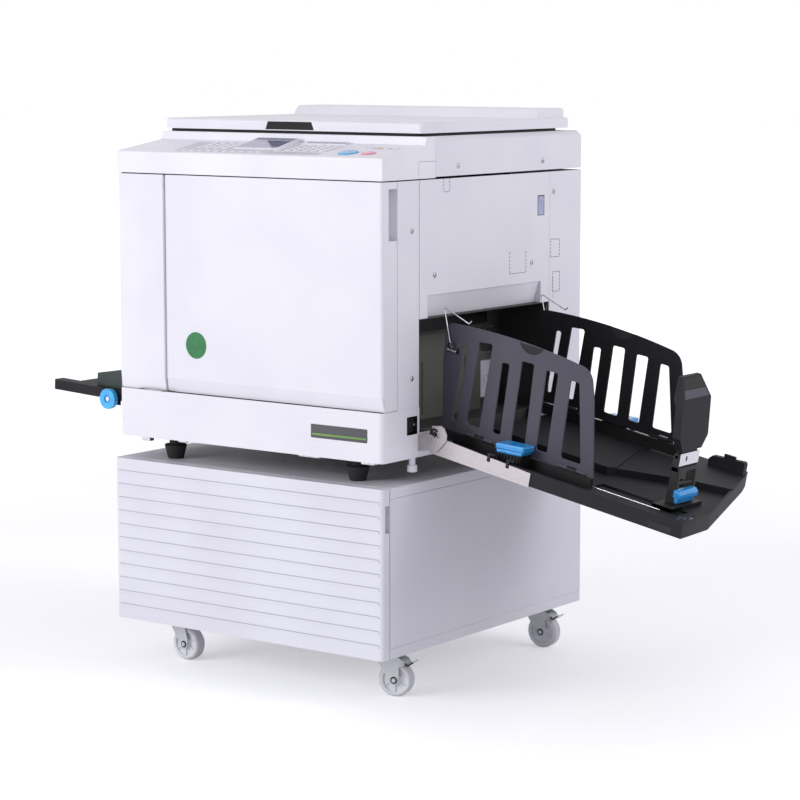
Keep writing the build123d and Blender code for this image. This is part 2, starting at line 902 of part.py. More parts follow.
def front_cover():
    axis_x = cover_left + cover_axis_inset
    axis_y = machine_front + cover_axis_inset
    back = machine_front + cover_thickness
    with BuildPart() as cover:
        span_box((cover_left, machine_front, cover_low_z), (half_width, back, cover_high_z))
        fillet(cover.edges().filter_by(Axis.Z).group_by(Axis.Y)[0], cover_edge)
        span_box((cover_left + 2 * cover_axis_inset, machine_front + wall, cover_low_z + wall),
                 (half_width - handle_depth - wall, back, cover_high_z - wall), Mode.SUBTRACT)
        span_box((half_width - handle_depth, back - handle_height, handle_low_z),
                 (half_width, back, handle_high_z), Mode.SUBTRACT)
        with BuildSketch(Plane.YZ.offset(cover_left)):
            with BuildLine():
                Polyline(
                    (machine_front, cover_low_z),
                    (machine_front, cover_low_z + lower_band),
                    (machine_front + lower_band_depth, cover_low_z),
                    close=True,
                )
            make_face()
        extrude(amount=half_width - cover_left, mode=Mode.SUBTRACT)
        for leaf_z in cover_leaf_heights():
            span_box((cover_left, machine_front + wall, leaf_z - leaf_gap),
                     (axis_x + 4 * cover_axis_inset, back, leaf_z + leaf_thickness + leaf_gap), Mode.SUBTRACT)
            with Locations((axis_x, axis_y, leaf_z + leaf_thickness / 2)):
                Cylinder(pin_radius + running_gap, 2 * pin_length + leaf_thickness + 2 * leaf_gap,
                         mode=Mode.SUBTRACT)
    save(cover, "front_cover")


def cover_screws():
    with BuildPart() as screws:
        with Locations(*[(half_width + screw_head / 2, y, z) for y, z in screw_spots]):
            Cylinder(screw_radius, screw_head, rotation=(0, 90, 0))
    save(screws, "cover_screws")


# scanner, control panel and original cover

def scanner_housing():
    low = body_top_z
    with BuildPart() as housing:
        span_box((-half_width, panel_back, low), (half_width, machine_back, housing_top_z))
        fillet(housing.edges().filter_by(Axis.Z).group_by(Axis.Y)[-1], corner_radius)
        top_back = housing.faces().sort_by(Axis.Z)[-1].edges().sort_by(Axis.Y)[-1]
        chamfer(top_back, rear_chamfer)
        span_box((-half_width + housing_wall, panel_back + housing_wall, low + housing_wall),
                 (half_width - housing_wall, machine_back - 4 * housing_wall,
                  housing_top_z - housing_wall - glass_seat),
                 Mode.SUBTRACT)
        span_box((glass_left + glass_ledge, glass_front + glass_ledge, low + housing_wall),
                 (glass_right - glass_ledge, glass_back - glass_ledge, housing_top_z), Mode.SUBTRACT)
        span_box((glass_left, glass_front, housing_top_z - glass_thickness - slide_gap),
                 (glass_right, glass_back, housing_top_z), Mode.SUBTRACT)
        middle = (glass_front + glass_back) / 2
        span_box((-half_width + housing_wall, middle - rail_width / 2, low + housing_wall),
                 (half_width - housing_wall, middle + rail_width / 2, low + housing_wall + rail_height))
    save(housing, "scanner_housing")


def platen_glass():
    gap = slide_gap / 2
    with BuildPart() as glass:
        span_box((glass_left + gap, glass_front + gap, housing_top_z - glass_thickness - slide_gap),
                 (glass_right - gap, glass_back - gap, housing_top_z - slide_gap))
    save(glass, "platen_glass")


def scan_carriage():
    floor = body_top_z + housing_wall
    middle = (glass_front + glass_back) / 2
    with BuildPart() as carriage:
        span_box((carriage_home_x - carriage_width / 2, middle - carriage_half_length, floor + slide_gap),
                 (carriage_home_x + carriage_width / 2, middle + carriage_half_length,
                  floor + slide_gap + carriage_height))
        span_box((carriage_home_x - carriage_width / 2, middle - rail_width / 2 - slide_gap, floor),
                 (carriage_home_x + carriage_width / 2, middle + rail_width / 2 + slide_gap,
                  floor + rail_height + slide_gap), Mode.SUBTRACT)
        half_length = carriage_half_length - carriage_window_inset
        span_box((carriage_home_x - carriage_window_half, middle - half_length,
                  floor + carriage_height - carriage_window_depth),
                 (carriage_home_x + carriage_window_half, middle + half_length,
                  floor + carriage_height + slide_gap), Mode.SUBTRACT)
    save(carriage, "scan_carriage")


def control_panel():
    with BuildPart() as panel:
        with BuildSketch(Plane.YZ.offset(-half_width)):
            with BuildLine():
                Polyline(
                    (machine_front, panel_low_z),
                    (machine_front, panel_front_z),
                    (panel_step_y, panel_step_z),
                    (panel_step_y + panel_step_lean, housing_top_z),
                    (panel_back - slide_gap, housing_top_z),
                    (panel_back - slide_gap, panel_low_z),
                    close=True,
                )
            make_face()
        extrude(amount=machine_width)
        front_edges = panel.edges().filter_by(Axis.X).group_by(Axis.Y)[0]
        fillet(front_edges.sort_by(Axis.Z)[-1], wall)
        span_box((-half_width + wall, machine_front + wall, panel_low_z),
                 (half_width - wall, panel_back - slide_gap - wall, panel_front_z - 2 * wall - round_key_height),
                 Mode.SUBTRACT)
        for x, along, radius in ((start_x, start_along, start_radius), (stop_x, stop_along, stop_radius)):
            with BuildSketch(panel_frame):
                with Locations((x, along)):
                    Circle(radius + round_key_gap)
            extrude(amount=-(round_key_height - round_key_rise + round_key_travel + slide_gap),
                    mode=Mode.SUBTRACT)
    save(panel, "control_panel")


def panel_keys():
    with BuildPart() as keys:
        with BuildSketch(panel_frame):
            for group in (left_keys, front_keys, right_keys):
                with Locations((group["x"], group["along"])):
                    with GridLocations(key_pitch_x, key_pitch_y, group["columns"], group["rows"]):
                        RectangleRounded(key_size_x, key_size_y, key_corner)
            with Locations((tiny_keys_x, tiny_keys_along)):
                with GridLocations(tiny_keys_pitch, tiny_keys_pitch, 4, 1):
                    RectangleRounded(tiny_key_x, tiny_key_y, key_corner)
        extrude(amount=key_rise)
    save(keys, "panel_keys")
    for name, x, along, radius in (
        ("start_key", start_x, start_along, start_radius),
        ("stop_key", stop_x, stop_along, stop_radius),
    ):
        with BuildPart() as key:
            with BuildSketch(panel_frame.offset(round_key_rise - round_key_height)):
                with Locations((x, along)):
                    Circle(radius)
            extrude(amount=round_key_height)
            fillet(key.edges().sort_by(Axis.Z)[-1], key_edge)
        save(key, name)


def display_screens():
    with BuildPart() as screens:
        for x, near, width, length, high in (
            (screen_centre_x, screen_near, screen_width, screen_length, screen_high),
            (small_screen_x, small_screen_near, small_screen_width, small_screen_length, small_screen_high),
        ):
            with BuildSketch(end_plane(panel_frame, x - width / 2)):
                with BuildLine():
                    Polyline(
                        (near, 0),
                        (near, screen_low),
                        (near + length, high),
                        (near + length, 0),
                        close=True,
                    )
                make_face()
            extrude(amount=width)
    save(screens, "display_screens")


def original_cover():
    with BuildPart() as lid:
        with BuildSketch(Plane.XY.offset(lid_low_z)):
            with Locations(((lid_left + lid_right) / 2, (lid_front + lid_back) / 2)):
                RectangleRounded(lid_right - lid_left, lid_back - lid_front, lid_corner)
        extrude(amount=lid_high_z - lid_low_z)
        fillet(lid.faces().sort_by(Axis.Z)[-1].edges(), lid_edge)
        with BuildSketch(Plane.YZ.offset(lid_left + hump_end)):
            with BuildLine():
                Polyline(
                    (hump_front, lid_high_z - lid_edge),
                    (hump_front, lid_high_z),
                    (hump_front + hump_slope, hump_top_z),
                    (lid_back - lid_edge, hump_top_z),
                    (lid_back - lid_edge, lid_high_z - lid_edge),
                    close=True,
                )
            make_face()
        extrude(amount=lid_right - lid_left - 2 * hump_end)
        top = lid.faces().sort_by(Axis.Z)[-1]
        fillet(top.edges(), lid_edge)
        with BuildSketch(Plane.XZ.offset(-lid_front)):
            with BuildLine():
                Polyline(
                    (notch_x - notch_half, lid_low_z + notch_low),
                    (notch_x + notch_half, lid_low_z + notch_low),
                    (notch_x + notch_top_half, lid_low_z + notch_high),
                    (notch_x - notch_top_half, lid_low_z + notch_high),
                    close=True,
                )
            make_face()
        extrude(amount=-notch_depth, mode=Mode.SUBTRACT)
        span_box((glass_left, glass_front, lid_low_z), (glass_right, glass_back, lid_high_z - wall),
                 Mode.SUBTRACT)
        for side in (-1, 1):
            half = lid_tab_width / 2 + slide_gap
            x = side * lid_hinge_x
            span_box((x - half, lid_axis_y - lid_tab_radius - 2 * slide_gap, lid_low_z),
                     (x + half, lid_back, lid_axis_z + lid_tab_radius + 2 * slide_gap), Mode.SUBTRACT)
            with Locations((x, lid_axis_y, lid_axis_z)):
                Cylinder(pin_radius + running_gap, lid_tab_width + 2 * pin_length + 1,
                         rotation=(0, 90, 0), mode=Mode.SUBTRACT)
    save(lid, "original_cover")
    with BuildPart() as pad:
        span_box((glass_left - pad_margin, glass_front - pad_margin, lid_low_z - pad_thickness),
                 (glass_right + pad_margin, glass_back + pad_margin, lid_low_z))
        fillet(pad.edges().filter_by(Axis.Z), lid_edge)
    save(pad, "cover_pad")


# inside

def outlet_chamber():
    inner_right = half_width - wall
    high = outlet_high_z
    with BuildPart() as chamber:
        span_box((chamber_back_x, -chamber_half, outlet_low_z - chamber_wall),
                 (inner_right, chamber_half, high))
        span_box((well_left, -well_half, well_low_z), (inner_right, well_half, outlet_low_z))
        span_box((well_left + chamber_wall, -well_half + chamber_wall, well_low_z + chamber_wall),
                 (inner_right, well_half - chamber_wall, outlet_low_z), Mode.SUBTRACT)
        span_box((chamber_back_x + chamber_wall, -chamber_half + chamber_wall, outlet_low_z),
                 (inner_right, chamber_half - chamber_wall, high - chamber_wall), Mode.SUBTRACT)
        span_box((chamber_back_x, -slot_half, slot_low_z),
                 (chamber_back_x + chamber_wall, slot_half, slot_high_z), Mode.SUBTRACT)
    save(chamber, "outlet_chamber")


def frame_plates():
    low = machine_bottom_z + wall
    with BuildPart() as plates:
        for y in (-frame_y - frame_thickness, frame_y):
            span_box((frame_left, y, low), (frame_right, y + frame_thickness, body_top_z))
            for x, z, radius in (
                (drum_x, drum_z, drum_shaft_radius),
                (drum_x, roller_z, roller_shaft_radius),
                (feed_roller_x, feed_roller_z, feed_shaft_radius),
            ):
                across((x, y, z), (x, y + frame_thickness, z), radius + running_gap, Mode.SUBTRACT)
        for y in (-rod_y, rod_y):
            with Locations((rod_x, y, (low + rod_top_z) / 2)):
                Cylinder(rod_radius, rod_top_z - low)
    save(plates, "frame_plates")


def print_unit():
    end = frame_y + frame_thickness + shaft_past
    with BuildPart() as drum:
        across((drum_x, -drum_half, drum_z), (drum_x, drum_half, drum_z), drum_radius)
        across((drum_x, -drum_half + drum_wall, drum_z), (drum_x, drum_half - drum_wall, drum_z),
               drum_radius - drum_wall, Mode.SUBTRACT)
        for side in (-1, 1):
            across((drum_x, side * (drum_half - drum_wall), drum_z), (drum_x, side * end, drum_z),
                   drum_shaft_radius)
            across((drum_x, side * (drum_half - 2 * drum_wall), drum_z), (drum_x, side * end, drum_z),
                   cartridge_rod_radius + slide_gap, Mode.SUBTRACT)
    save(drum, "print_drum")
    with BuildPart() as cartridge:
        across((drum_x, -end - shaft_past, drum_z), (drum_x, end + shaft_past, drum_z), cartridge_rod_radius)
        across((drum_x, -cartridge_half, drum_z), (drum_x, cartridge_half, drum_z), cartridge_radius)
    save(cartridge, "ink_cartridge")
    with BuildPart() as roller:
        across((drum_x, -roller_half, roller_z), (drum_x, roller_half, roller_z), roller_radius)
        across((drum_x, -end, roller_z), (drum_x, end, roller_z), roller_shaft_radius)
    save(roller, "pressure_roller")
    with BuildPart() as feeder:
        across((feed_roller_x, -feed_roller_half, feed_roller_z),
               (feed_roller_x, feed_roller_half, feed_roller_z), feed_roller_radius)
        across((feed_roller_x, -end, feed_roller_z), (feed_roller_x, end, feed_roller_z), feed_shaft_radius)
    save(feeder, "feed_roller")


# feed tray

def feed_elevator():
    arm_low = feed_pivot_z - ear_radius
    arm_high = feed_pivot_z + ear_radius
    with BuildPart() as elevator:
        span_box((elevator_plate_x, -elevator_half, elevator_low_z),
                 (elevator_plate_x + elevator_plate, elevator_half, elevator_high_z))
        for side in (-1, 1):
            outer = side * elevator_half
            inner = side * (elevator_half - elevator_arm)
            span_box((feed_pivot_x, min(outer, inner), arm_low),
                     (elevator_plate_x, max(outer, inner), arm_high))
            across((feed_pivot_x, inner, feed_pivot_z), (feed_pivot_x, outer, feed_pivot_z), ear_radius)
            across((feed_pivot_x, inner - side * (ear_width + slide_gap), feed_pivot_z),
                   (feed_pivot_x, inner, feed_pivot_z), feed_pin_radius)
            for low_z in (elevator_low_z, elevator_high_z - 2 * boss_radius):
                with Locations((rod_x, side * rod_y, low_z + boss_radius)):
                    Cylinder(boss_radius, 2 * boss_radius)
                span_box((elevator_plate_x, side * rod_y - boss_radius, low_z),
                         (rod_x, side * rod_y + boss_radius, low_z + 2 * boss_radius))
            with Locations((rod_x, side * rod_y, (elevator_low_z + elevator_high_z) / 2)):
                Cylinder(rod_radius + running_gap, elevator_high_z - elevator_low_z, mode=Mode.SUBTRACT)
    save(elevator, "feed_elevator")


def feed_tray():
    ear_outer = elevator_half - elevator_arm - slide_gap
    ear_inner = ear_outer - ear_width
    bottom = feed_top - feed_rim
    with BuildPart(feed_frame) as tray:
        span_box((feed_start, -feed_half, bottom), (feed_length, feed_half, feed_top))
        fillet(tray.edges().filter_by(Axis(feed_frame.origin, feed_frame.z_dir)), feed_corner)
        span_box((feed_cut, -feed_half + feed_rail, bottom), (feed_length, feed_half - feed_rail, feed_top),
                 Mode.SUBTRACT)
        span_box((feed_start + wall, -feed_half + wall, bottom),
                 (feed_cut - wall, feed_half - wall, feed_top - wall), Mode.SUBTRACT)
        for side in (-1, 1):
            low = min(side * ear_inner, side * ear_outer)
            high = max(side * ear_inner, side * ear_outer)
            across((0, low, 0), (0, high, 0), ear_radius - 2)
            span_box((0, low, -ear_radius + 2), (2 * ear_width, high, feed_top))
            span_box((feed_start, min(low, side * (feed_half - wall)), -ear_radius + 2),
                     (2 * ear_width, max(high, side * (feed_half - wall)), feed_top))
            across((0, low, 0), (0, high, 0), feed_pin_radius + running_gap, Mode.SUBTRACT)
            outer = side * (fence_y + neck_width)
            inner = side * (fence_y - fence_travel - neck_width)
            span_box((fence_foot_u - neck_width / 2 - slide_gap, min(outer, inner), feed_top - 2 * wall),
                     (fence_foot_u + neck_width / 2 + slide_gap, max(outer, inner), feed_top), Mode.SUBTRACT)
        span_box((dial_u - dial_radius, feed_half - wall, dial_w - feed_dial_lug),
                 (dial_u + dial_radius, feed_half, bottom))
        across((dial_u, feed_half - wall, dial_w), (dial_u, feed_half, dial_w),
               dial_shaft_radius + running_gap, Mode.SUBTRACT)
    save(tray, "feed_tray")


def feed_guides():
    for name, side in (("feed_guide_front", 1), ("feed_guide_rear", -1)):
        base = feed_top + slide_gap
        fence = side * fence_y
        with BuildPart(feed_frame) as guide:
            with BuildSketch(side_plane(feed_frame, fence + fence_thickness / 2)):
                with BuildLine():
                    Polyline(
                        (fence_start, base),
                        (fence_end, base),
                        (fence_end, fence_low_top),
                        (fence_shoulder, fence_high_top),
                        (fence_start, fence_high_top),
                        close=True,
                    )
                make_face()
            extrude(amount=fence_thickness)
            with Locations((fence_foot_u, fence - side * fence_foot_width / 2, base + fence_foot_thickness / 2)):
                Box(fence_foot_length, fence_foot_width, fence_foot_thickness)
            under = feed_top - wall - slide_gap
            with Locations((fence_foot_u, fence, (under + base) / 2)):
                Box(neck_width, neck_width, base - under)
            with Locations((fence_foot_u, fence, under - 1.5)):
                Box(2 * neck_width, neck_width, 3)
        save(guide, name)


def position_dial():
    face = feed_half + slide_gap
    with BuildPart(feed_frame) as dial:
        across((dial_u, face, dial_w), (dial_u, face + dial_thickness, dial_w), dial_radius)
        across((dial_u, face + dial_thickness / 2, dial_w), (dial_u, face + dial_thickness, dial_w),
               dial_hub_radius, Mode.SUBTRACT)
        across((dial_u, feed_half - wall - 3, dial_w), (dial_u, face, dial_w), dial_shaft_radius)
    save(dial, "position_dial")


# receiving tray

def tray_brackets():
    outer = tray_front - arm_thickness - bracket_gap - bracket_thickness
    with BuildPart() as brackets:
        for side in (1, -1):
            near = side * outer
            far = side * (outer + bracket_thickness)
            with BuildSketch(Plane.XZ.offset(-max(near, far))):
                with BuildLine():
                    Polyline((half_width, flange_low_z), (half_width, flange_high_z),
                             *[(half_width + out, z) for out, z in hook_points], close=True)
                make_face()
            extrude(amount=bracket_thickness)
            inner = near + side * flange_width
            span_box((half_width, min(near, inner), flange_low_z),
                     (half_width + bracket_thickness, max(near, inner), flange_high_z))
            across((tray_pivot_x, near, tray_pivot_z), (tray_pivot_x, side * (tray_front - slide_gap), tray_pivot_z),
                   arm_pin_radius)
    save(brackets, "tray_brackets")


def tray_outline(inset=0.0, inner=None):
    """Plan of the tray, drawn in by an inset; the side at the machine may stay where it is."""
    start = tray_inner + inset if inner is None else inner
    return [
        (start, tray_front + inset),
        (tray_reach - inset, tray_front + inset),
        (tray_reach - tray_corner_inset - inset, tray_corner_y),
        (tray_far - inset, tray_far_y),
        (tray_back_end - inset, tray_back - inset),
        (start, tray_back - inset),
    ]


def plateau_outline(inset=0.0):
    """Plan of the raised field at the far end; its edge towards the front runs in four runs."""
    first, second, third, last = plateau_edge
    return [
        (first[0] + inset, first[1] + inset), (second[0] + inset, second[1] + inset), (third[0], third[1] + inset),
        (last[0] - inset, last[1] + inset), (tray_far - inset, tray_far_y - inset),
        (tray_back_end - inset, tray_back - inset), (deck_step_u - inset, tray_back - inset),
        (deck_step_u - inset, deck_step_y),
    ]


def inner_deck_outline(inset=0.0):
    """Plan of the deck next to the machine."""
    corner = plateau_edge[0]
    return [
        (tray_inner + inset, inner_deck_front + inset), (inner_deck_end - inset, inner_deck_front + inset),
        (corner[0] - inset, corner[1] - 2), (deck_step_u - inset, deck_step_y),
        (deck_step_u - inset, tray_back - inset), (tray_inner + inset, tray_back - inset),
    ]


def receiving_tray():
    with BuildPart(tray_frame) as tray:
        with BuildSketch(tray_frame.offset(tray_bottom)):
            with BuildLine():
                Polyline(*tray_outline(), close=True)
            make_face()
        extrude(amount=low_deck - tray_bottom)
        for outline, top in ((plateau_outline(), plateau), (inner_deck_outline(), inner_deck)):
            with BuildSketch(tray_frame.offset(low_deck)):
                with BuildLine():
                    Polyline(*outline, close=True)
                make_face()
            extrude(amount=top - low_deck)
        with BuildSketch(tray_frame.offset(low_deck)):
            with BuildLine():
                Polyline(*tray_outline(), close=True)
            make_face()
            with BuildLine():
                Polyline(*tray_outline(rim_width, tray_inner), close=True)
            make_face(mode=Mode.SUBTRACT)
        extrude(amount=rim_top - low_deck)
        with BuildSketch(tray_frame.offset(tray_bottom)):
            with BuildLine():
                Polyline(*tray_outline(pocket_margin), close=True)
            make_face()
        extrude(amount=low_deck - channel_depth - deck_skin - tray_bottom, mode=Mode.SUBTRACT)
        for outline in (plateau_outline(pocket_margin), inner_deck_outline(pocket_margin)):
            with BuildSketch(tray_frame.offset(tray_bottom)):
                with BuildLine():
                    Polyline(*outline, close=True)
                make_face()
            extrude(amount=plateau - deck_skin - tray_bottom, mode=Mode.SUBTRACT)
        span_box((channel_start, channel_front, low_deck - channel_depth),
                 (channel_end, channel_back, low_deck), Mode.SUBTRACT)
        with BuildSketch(side_plane(tray_frame, latch_front + latch_thickness)):
            with BuildLine():
                Polyline(
                    (latch_start, low_deck), (latch_start, latch_low_top - latch_bevel),
                    (latch_start + latch_bevel, latch_low_top), (latch_end - latch_bevel / 2, latch_high_top),
                    (latch_end, latch_high_top - latch_bevel / 2), (latch_end, low_deck),
                    close=True,
                )
            make_face()
        extrude(amount=latch_thickness)
        key_y = latch_front + latch_thickness / 2
        span_box((latch_key_start, key_y - latch_key_thickness / 2, low_deck),
                 (latch_key_end, key_y + latch_key_thickness / 2, latch_high_top + latch_key_rise))
    save(tray, "receiving_tray")


def tray_arms():
    with BuildPart(tray_frame) as arms:
        for side in (1, -1):
            inner = side * tray_front
            outer = side * (tray_front - arm_thickness)
            with BuildSketch(side_plane(tray_frame, max(inner, outer))):
                with BuildLine():
                    Polyline(
                        *arm_heel, (arm_neck, arm_top_start), (arm_end, arm_top_end), (arm_end, arm_bottom),
                        close=True,
                    )
                make_face()
                Circle(arm_pin_radius + running_gap, mode=Mode.SUBTRACT)
                for u in arm_slots:
                    with Locations((u, 0)):
                        Rectangle(arm_slot_width, 2 * arm_slot_depth, mode=Mode.SUBTRACT)
            extrude(amount=arm_thickness)
    save(arms, "tray_arms")


def guide_side(name):
    """Sign towards the outside, wall place and hinge height of a side guide."""
    if name == "front":
        return -1, guide_y_front, guide_axis_front, low_deck
    return 1, guide_y_rear, guide_axis_rear, inner_deck


def guide_base(name):
    out, y, axis_w, deck = guide_side(name)
    bottom = deck + slide_gap
    top = axis_w - knuckle_radius
    near = min(out * (grip_out - 2), out * grip_far)
    far = max(out * (grip_out - 2), out * grip_far)
    with BuildPart(tray_frame) as base:
        span_box((rail_start, y - rail_thickness / 2, bottom), (rail_end, y + rail_thickness / 2, top))
        for middle in (knuckle_near, knuckle_far):
            low_u = middle - knuckle_length / 2
            with BuildSketch(end_plane(tray_frame, low_u)):
                with Locations((y, axis_w)):
                    Circle(knuckle_radius)
                with Locations((y, (axis_w + top) / 2)):
                    Rectangle(2 * knuckle_radius, axis_w - top)
            extrude(amount=knuckle_length)
            with BuildSketch(end_plane(tray_frame, low_u - knuckle_length)):
                with Locations((y, axis_w)):
                    Circle(guide_pin_radius)
            extrude(amount=3 * knuckle_length)
        with BuildSketch(side_plane(tray_frame, far)):
            with BuildLine():
                Polyline(
                    (grip_start + grip_near_inset, bottom),
                    (grip_end - grip_end_inset, bottom),
                    (grip_end - grip_end_inset, max(grip_front_low, bottom + 4)),
                    (grip_end, max(grip_front_low, bottom + 4)),
                    (grip_end, grip_front_top),
                    (grip_start, grip_back_top),
                    (grip_start, max(0, bottom + 3)),
                    (grip_start + grip_near_inset, max(0, bottom + 3)),
                    close=True,
                )
            make_face()
        extrude(amount=far - near)
        link = sorted((y, out * grip_out))
        span_box((grip_start + grip_near_inset, link[0], bottom), (grip_end - grip_end_inset, link[1], top))
    save(base, f"guide_base_{name}")


def guide_slots(axis_w):
    """Slots of a guide wall; those that start at 0 or just over it stand on the lower rail."""
    low = axis_w + slot_margin
    return [[(u, low + w if w < slot_margin else w) for u, w in slot] for slot in slot_rows]


def guide_wall(name):
    out, y, axis_w, deck = guide_side(name)
    with BuildPart(tray_frame) as guide:
        low = axis_w + guide_bottom
        lead = [(u, low if w == 0 else w) for u, w in guide_lead]
        tail = [(u, low if w == 0 else w) for u, w in guide_tail]
        with BuildSketch(side_plane(tray_frame, y + guide_thickness / 2)):
            with BuildLine():
                Polyline(*lead)
                ThreePointArc(lead[-1], guide_shoulder, guide_crown[0])
                ThreePointArc(*guide_crown)
                ThreePointArc(guide_crown[-1], guide_turn, tail[0])
                Polyline(*tail, lead[0])
            make_face()
            for slot in guide_slots(axis_w):
                with BuildSketch(mode=Mode.SUBTRACT) as hole:
                    with BuildLine():
                        Polyline(*slot, close=True)
                    make_face()
                    fillet(hole.vertices(), slot_corner)
            for middle in (knuckle_near, knuckle_far):
                with Locations((middle, axis_w + guide_bottom)):
                    Rectangle(3 * knuckle_length + 2 * slide_gap, 2 * (knuckle_radius + knuckle_clear),
                              mode=Mode.SUBTRACT)
        extrude(amount=guide_thickness)
        with BuildSketch(side_plane(tray_frame, y + out * guide_thickness / 2)):
            with Locations((thumb_u, thumb_w)):
                Circle(thumb_radius)
        extrude(amount=out * thumb_depth, mode=Mode.SUBTRACT)
        for middle in (knuckle_near, knuckle_far):
            for start in (middle - 3 * knuckle_length / 2, middle + knuckle_length / 2 + slide_gap):
                length = knuckle_length - slide_gap
                with BuildSketch(end_plane(tray_frame, start)):
                    with Locations((y, axis_w)):
                        Circle(knuckle_radius - 0.5)
                    with Locations((y, axis_w + knuckle_radius)):
                        Rectangle(guide_thickness, 2 * knuckle_radius)
                    with Locations((y, axis_w)):
                        Circle(guide_pin_radius + running_gap, mode=Mode.SUBTRACT)
                extrude(amount=length)
        face = y + out * guide_thickness / 2
        tip = face + out * wire_pin_length
        across((wire_pivot_u, face, wire_pivot_w), (wire_pivot_u, tip, wire_pivot_w), wire_pin_radius)
        across((wire_pivot_u, tip - out * wire_pin_head, wire_pivot_w), (wire_pivot_u, tip, wire_pivot_w),
               wire_ring_radius - 1)
    save(guide, f"guide_wall_{name}")


def sheet_wire(name):
    out, y, axis_w, deck = guide_side(name)
    middle = y + out * (guide_thickness / 2 + wire_stand)
    with BuildPart(tray_frame) as wire:
        with BuildLine(side_plane(tray_frame, middle)) as route:
            FilletPolyline(
                (wire_pivot_u - wire_ring_radius + wire_radius, wire_pivot_w),
                *wire_route,
                radius=wire_bends,
            )
        with BuildSketch(Plane(route.wire() @ 0, z_dir=route.wire() % 0)):
            Circle(wire_radius)
        sweep()
        across((wire_pivot_u, middle - 1.5, wire_pivot_w), (wire_pivot_u, middle + 1.5, wire_pivot_w),
               wire_ring_radius)
        across((wire_pivot_u, middle - 1.5, wire_pivot_w), (wire_pivot_u, middle + 1.5, wire_pivot_w),
               wire_pin_radius + running_gap, Mode.SUBTRACT)
    save(wire, f"sheet_wire_{name}")


def stopper():
    low = low_deck + slide_gap
    with BuildPart(tray_frame) as post:
        span_box((leg_inner - foot_near, channel_front + slide_gap, low - channel_depth),
                 (leg_outer + foot_past, channel_back - slide_gap, low + foot_block))
        span_box((leg_inner - foot_near, channel_front + slide_gap, low),
                 (leg_outer + foot_past, stopper_y + foot_side, low + foot_block))
        for side in (-1, 1):
            outer = stopper_y + side * leg_half
            inner = outer - side * leg_post
            low_y = min(inner, outer)
            high_y = max(inner, outer)
            span_box((leg_inner, low_y, low), (leg_outer, high_y, hood_axis_w - ear_top_radius))
            span_box((hood_axis_u - ear_top_radius, low_y, hood_axis_w - 2 * ear_top_radius),
                     (hood_axis_u + ear_top_radius, high_y, hood_axis_w))
            across((hood_axis_u, low_y, hood_axis_w), (hood_axis_u, high_y, hood_axis_w), ear_top_radius)
            across((hood_axis_u, low_y, hood_axis_w), (hood_axis_u, high_y, hood_axis_w),
                   hood_pin_radius + running_gap, Mode.SUBTRACT)
        span_box((leg_inner, stopper_y - leg_half, bridge_low), (leg_outer, stopper_y + leg_half, bridge_high))
        span_box((leg_outer - leg_post, stop_grip_near, stop_grip_low),
                 (leg_outer + stop_grip_out, stop_grip_far, stop_grip_high))
        span_box((leg_outer, stop_grip_near + stop_tooth_inset, low),
                 (leg_outer + stop_tooth_out, stop_grip_far - stop_tooth_inset, stop_grip_low))
    save(post, "stopper_post")

    inner_half = leg_half - leg_post - slide_gap
    with BuildPart(tray_frame) as hood:
        for w, inner_u, outer_u, half in hood_rows:
            with BuildSketch(tray_frame.offset(w)):
                with Locations(((inner_u + outer_u) / 2, stopper_y)):
                    Rectangle(outer_u - inner_u, 2 * half)
        loft(ruled=True)
        span_box((hood_axis_u - hood_stem, stopper_y - inner_half, hood_axis_w),
                 (hood_axis_u + hood_stem, stopper_y + inner_half, hood_start + hood_stem))
        across((hood_axis_u, stopper_y - inner_half, hood_axis_w),
               (hood_axis_u, stopper_y + inner_half, hood_axis_w), hood_stem)
        across((hood_axis_u, stopper_y - leg_half, hood_axis_w), (hood_axis_u, stopper_y + leg_half, hood_axis_w),
               hood_pin_radius)
    save(hood, "stopper_hood")


def main():
    os.makedirs("parts", exist_ok=True)
    cabinet_boards()
    cabinet_door()
    hinge_leaves()
    caster_plates()
    for name, spot in caster_spots().items():
        caster(name, spot, caster_turns[name])
    rubber_feet()
    base_skirt()
    mains_inlet()
    power_switch()
    front_left_pillar()
    front_right_pillar()
    side_panels()
    rear_cover()
    front_cover()
    cover_screws()
    scanner_housing()
    platen_glass()
    scan_carriage()
    control_panel()
    panel_keys()
    display_screens()
    original_cover()
    outlet_chamber()
    frame_plates()
    print_unit()
    feed_elevator()
    feed_tray()
    feed_guides()
    position_dial()
    tray_brackets()
    receiving_tray()
    tray_arms()
    for name in ("front", "rear"):
        guide_base(name)
        guide_wall(name)
        sheet_wire(name)
    stopper()


main()
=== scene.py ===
import json
import math
import bmesh
import bpy
from mathutils import Matrix, Vector

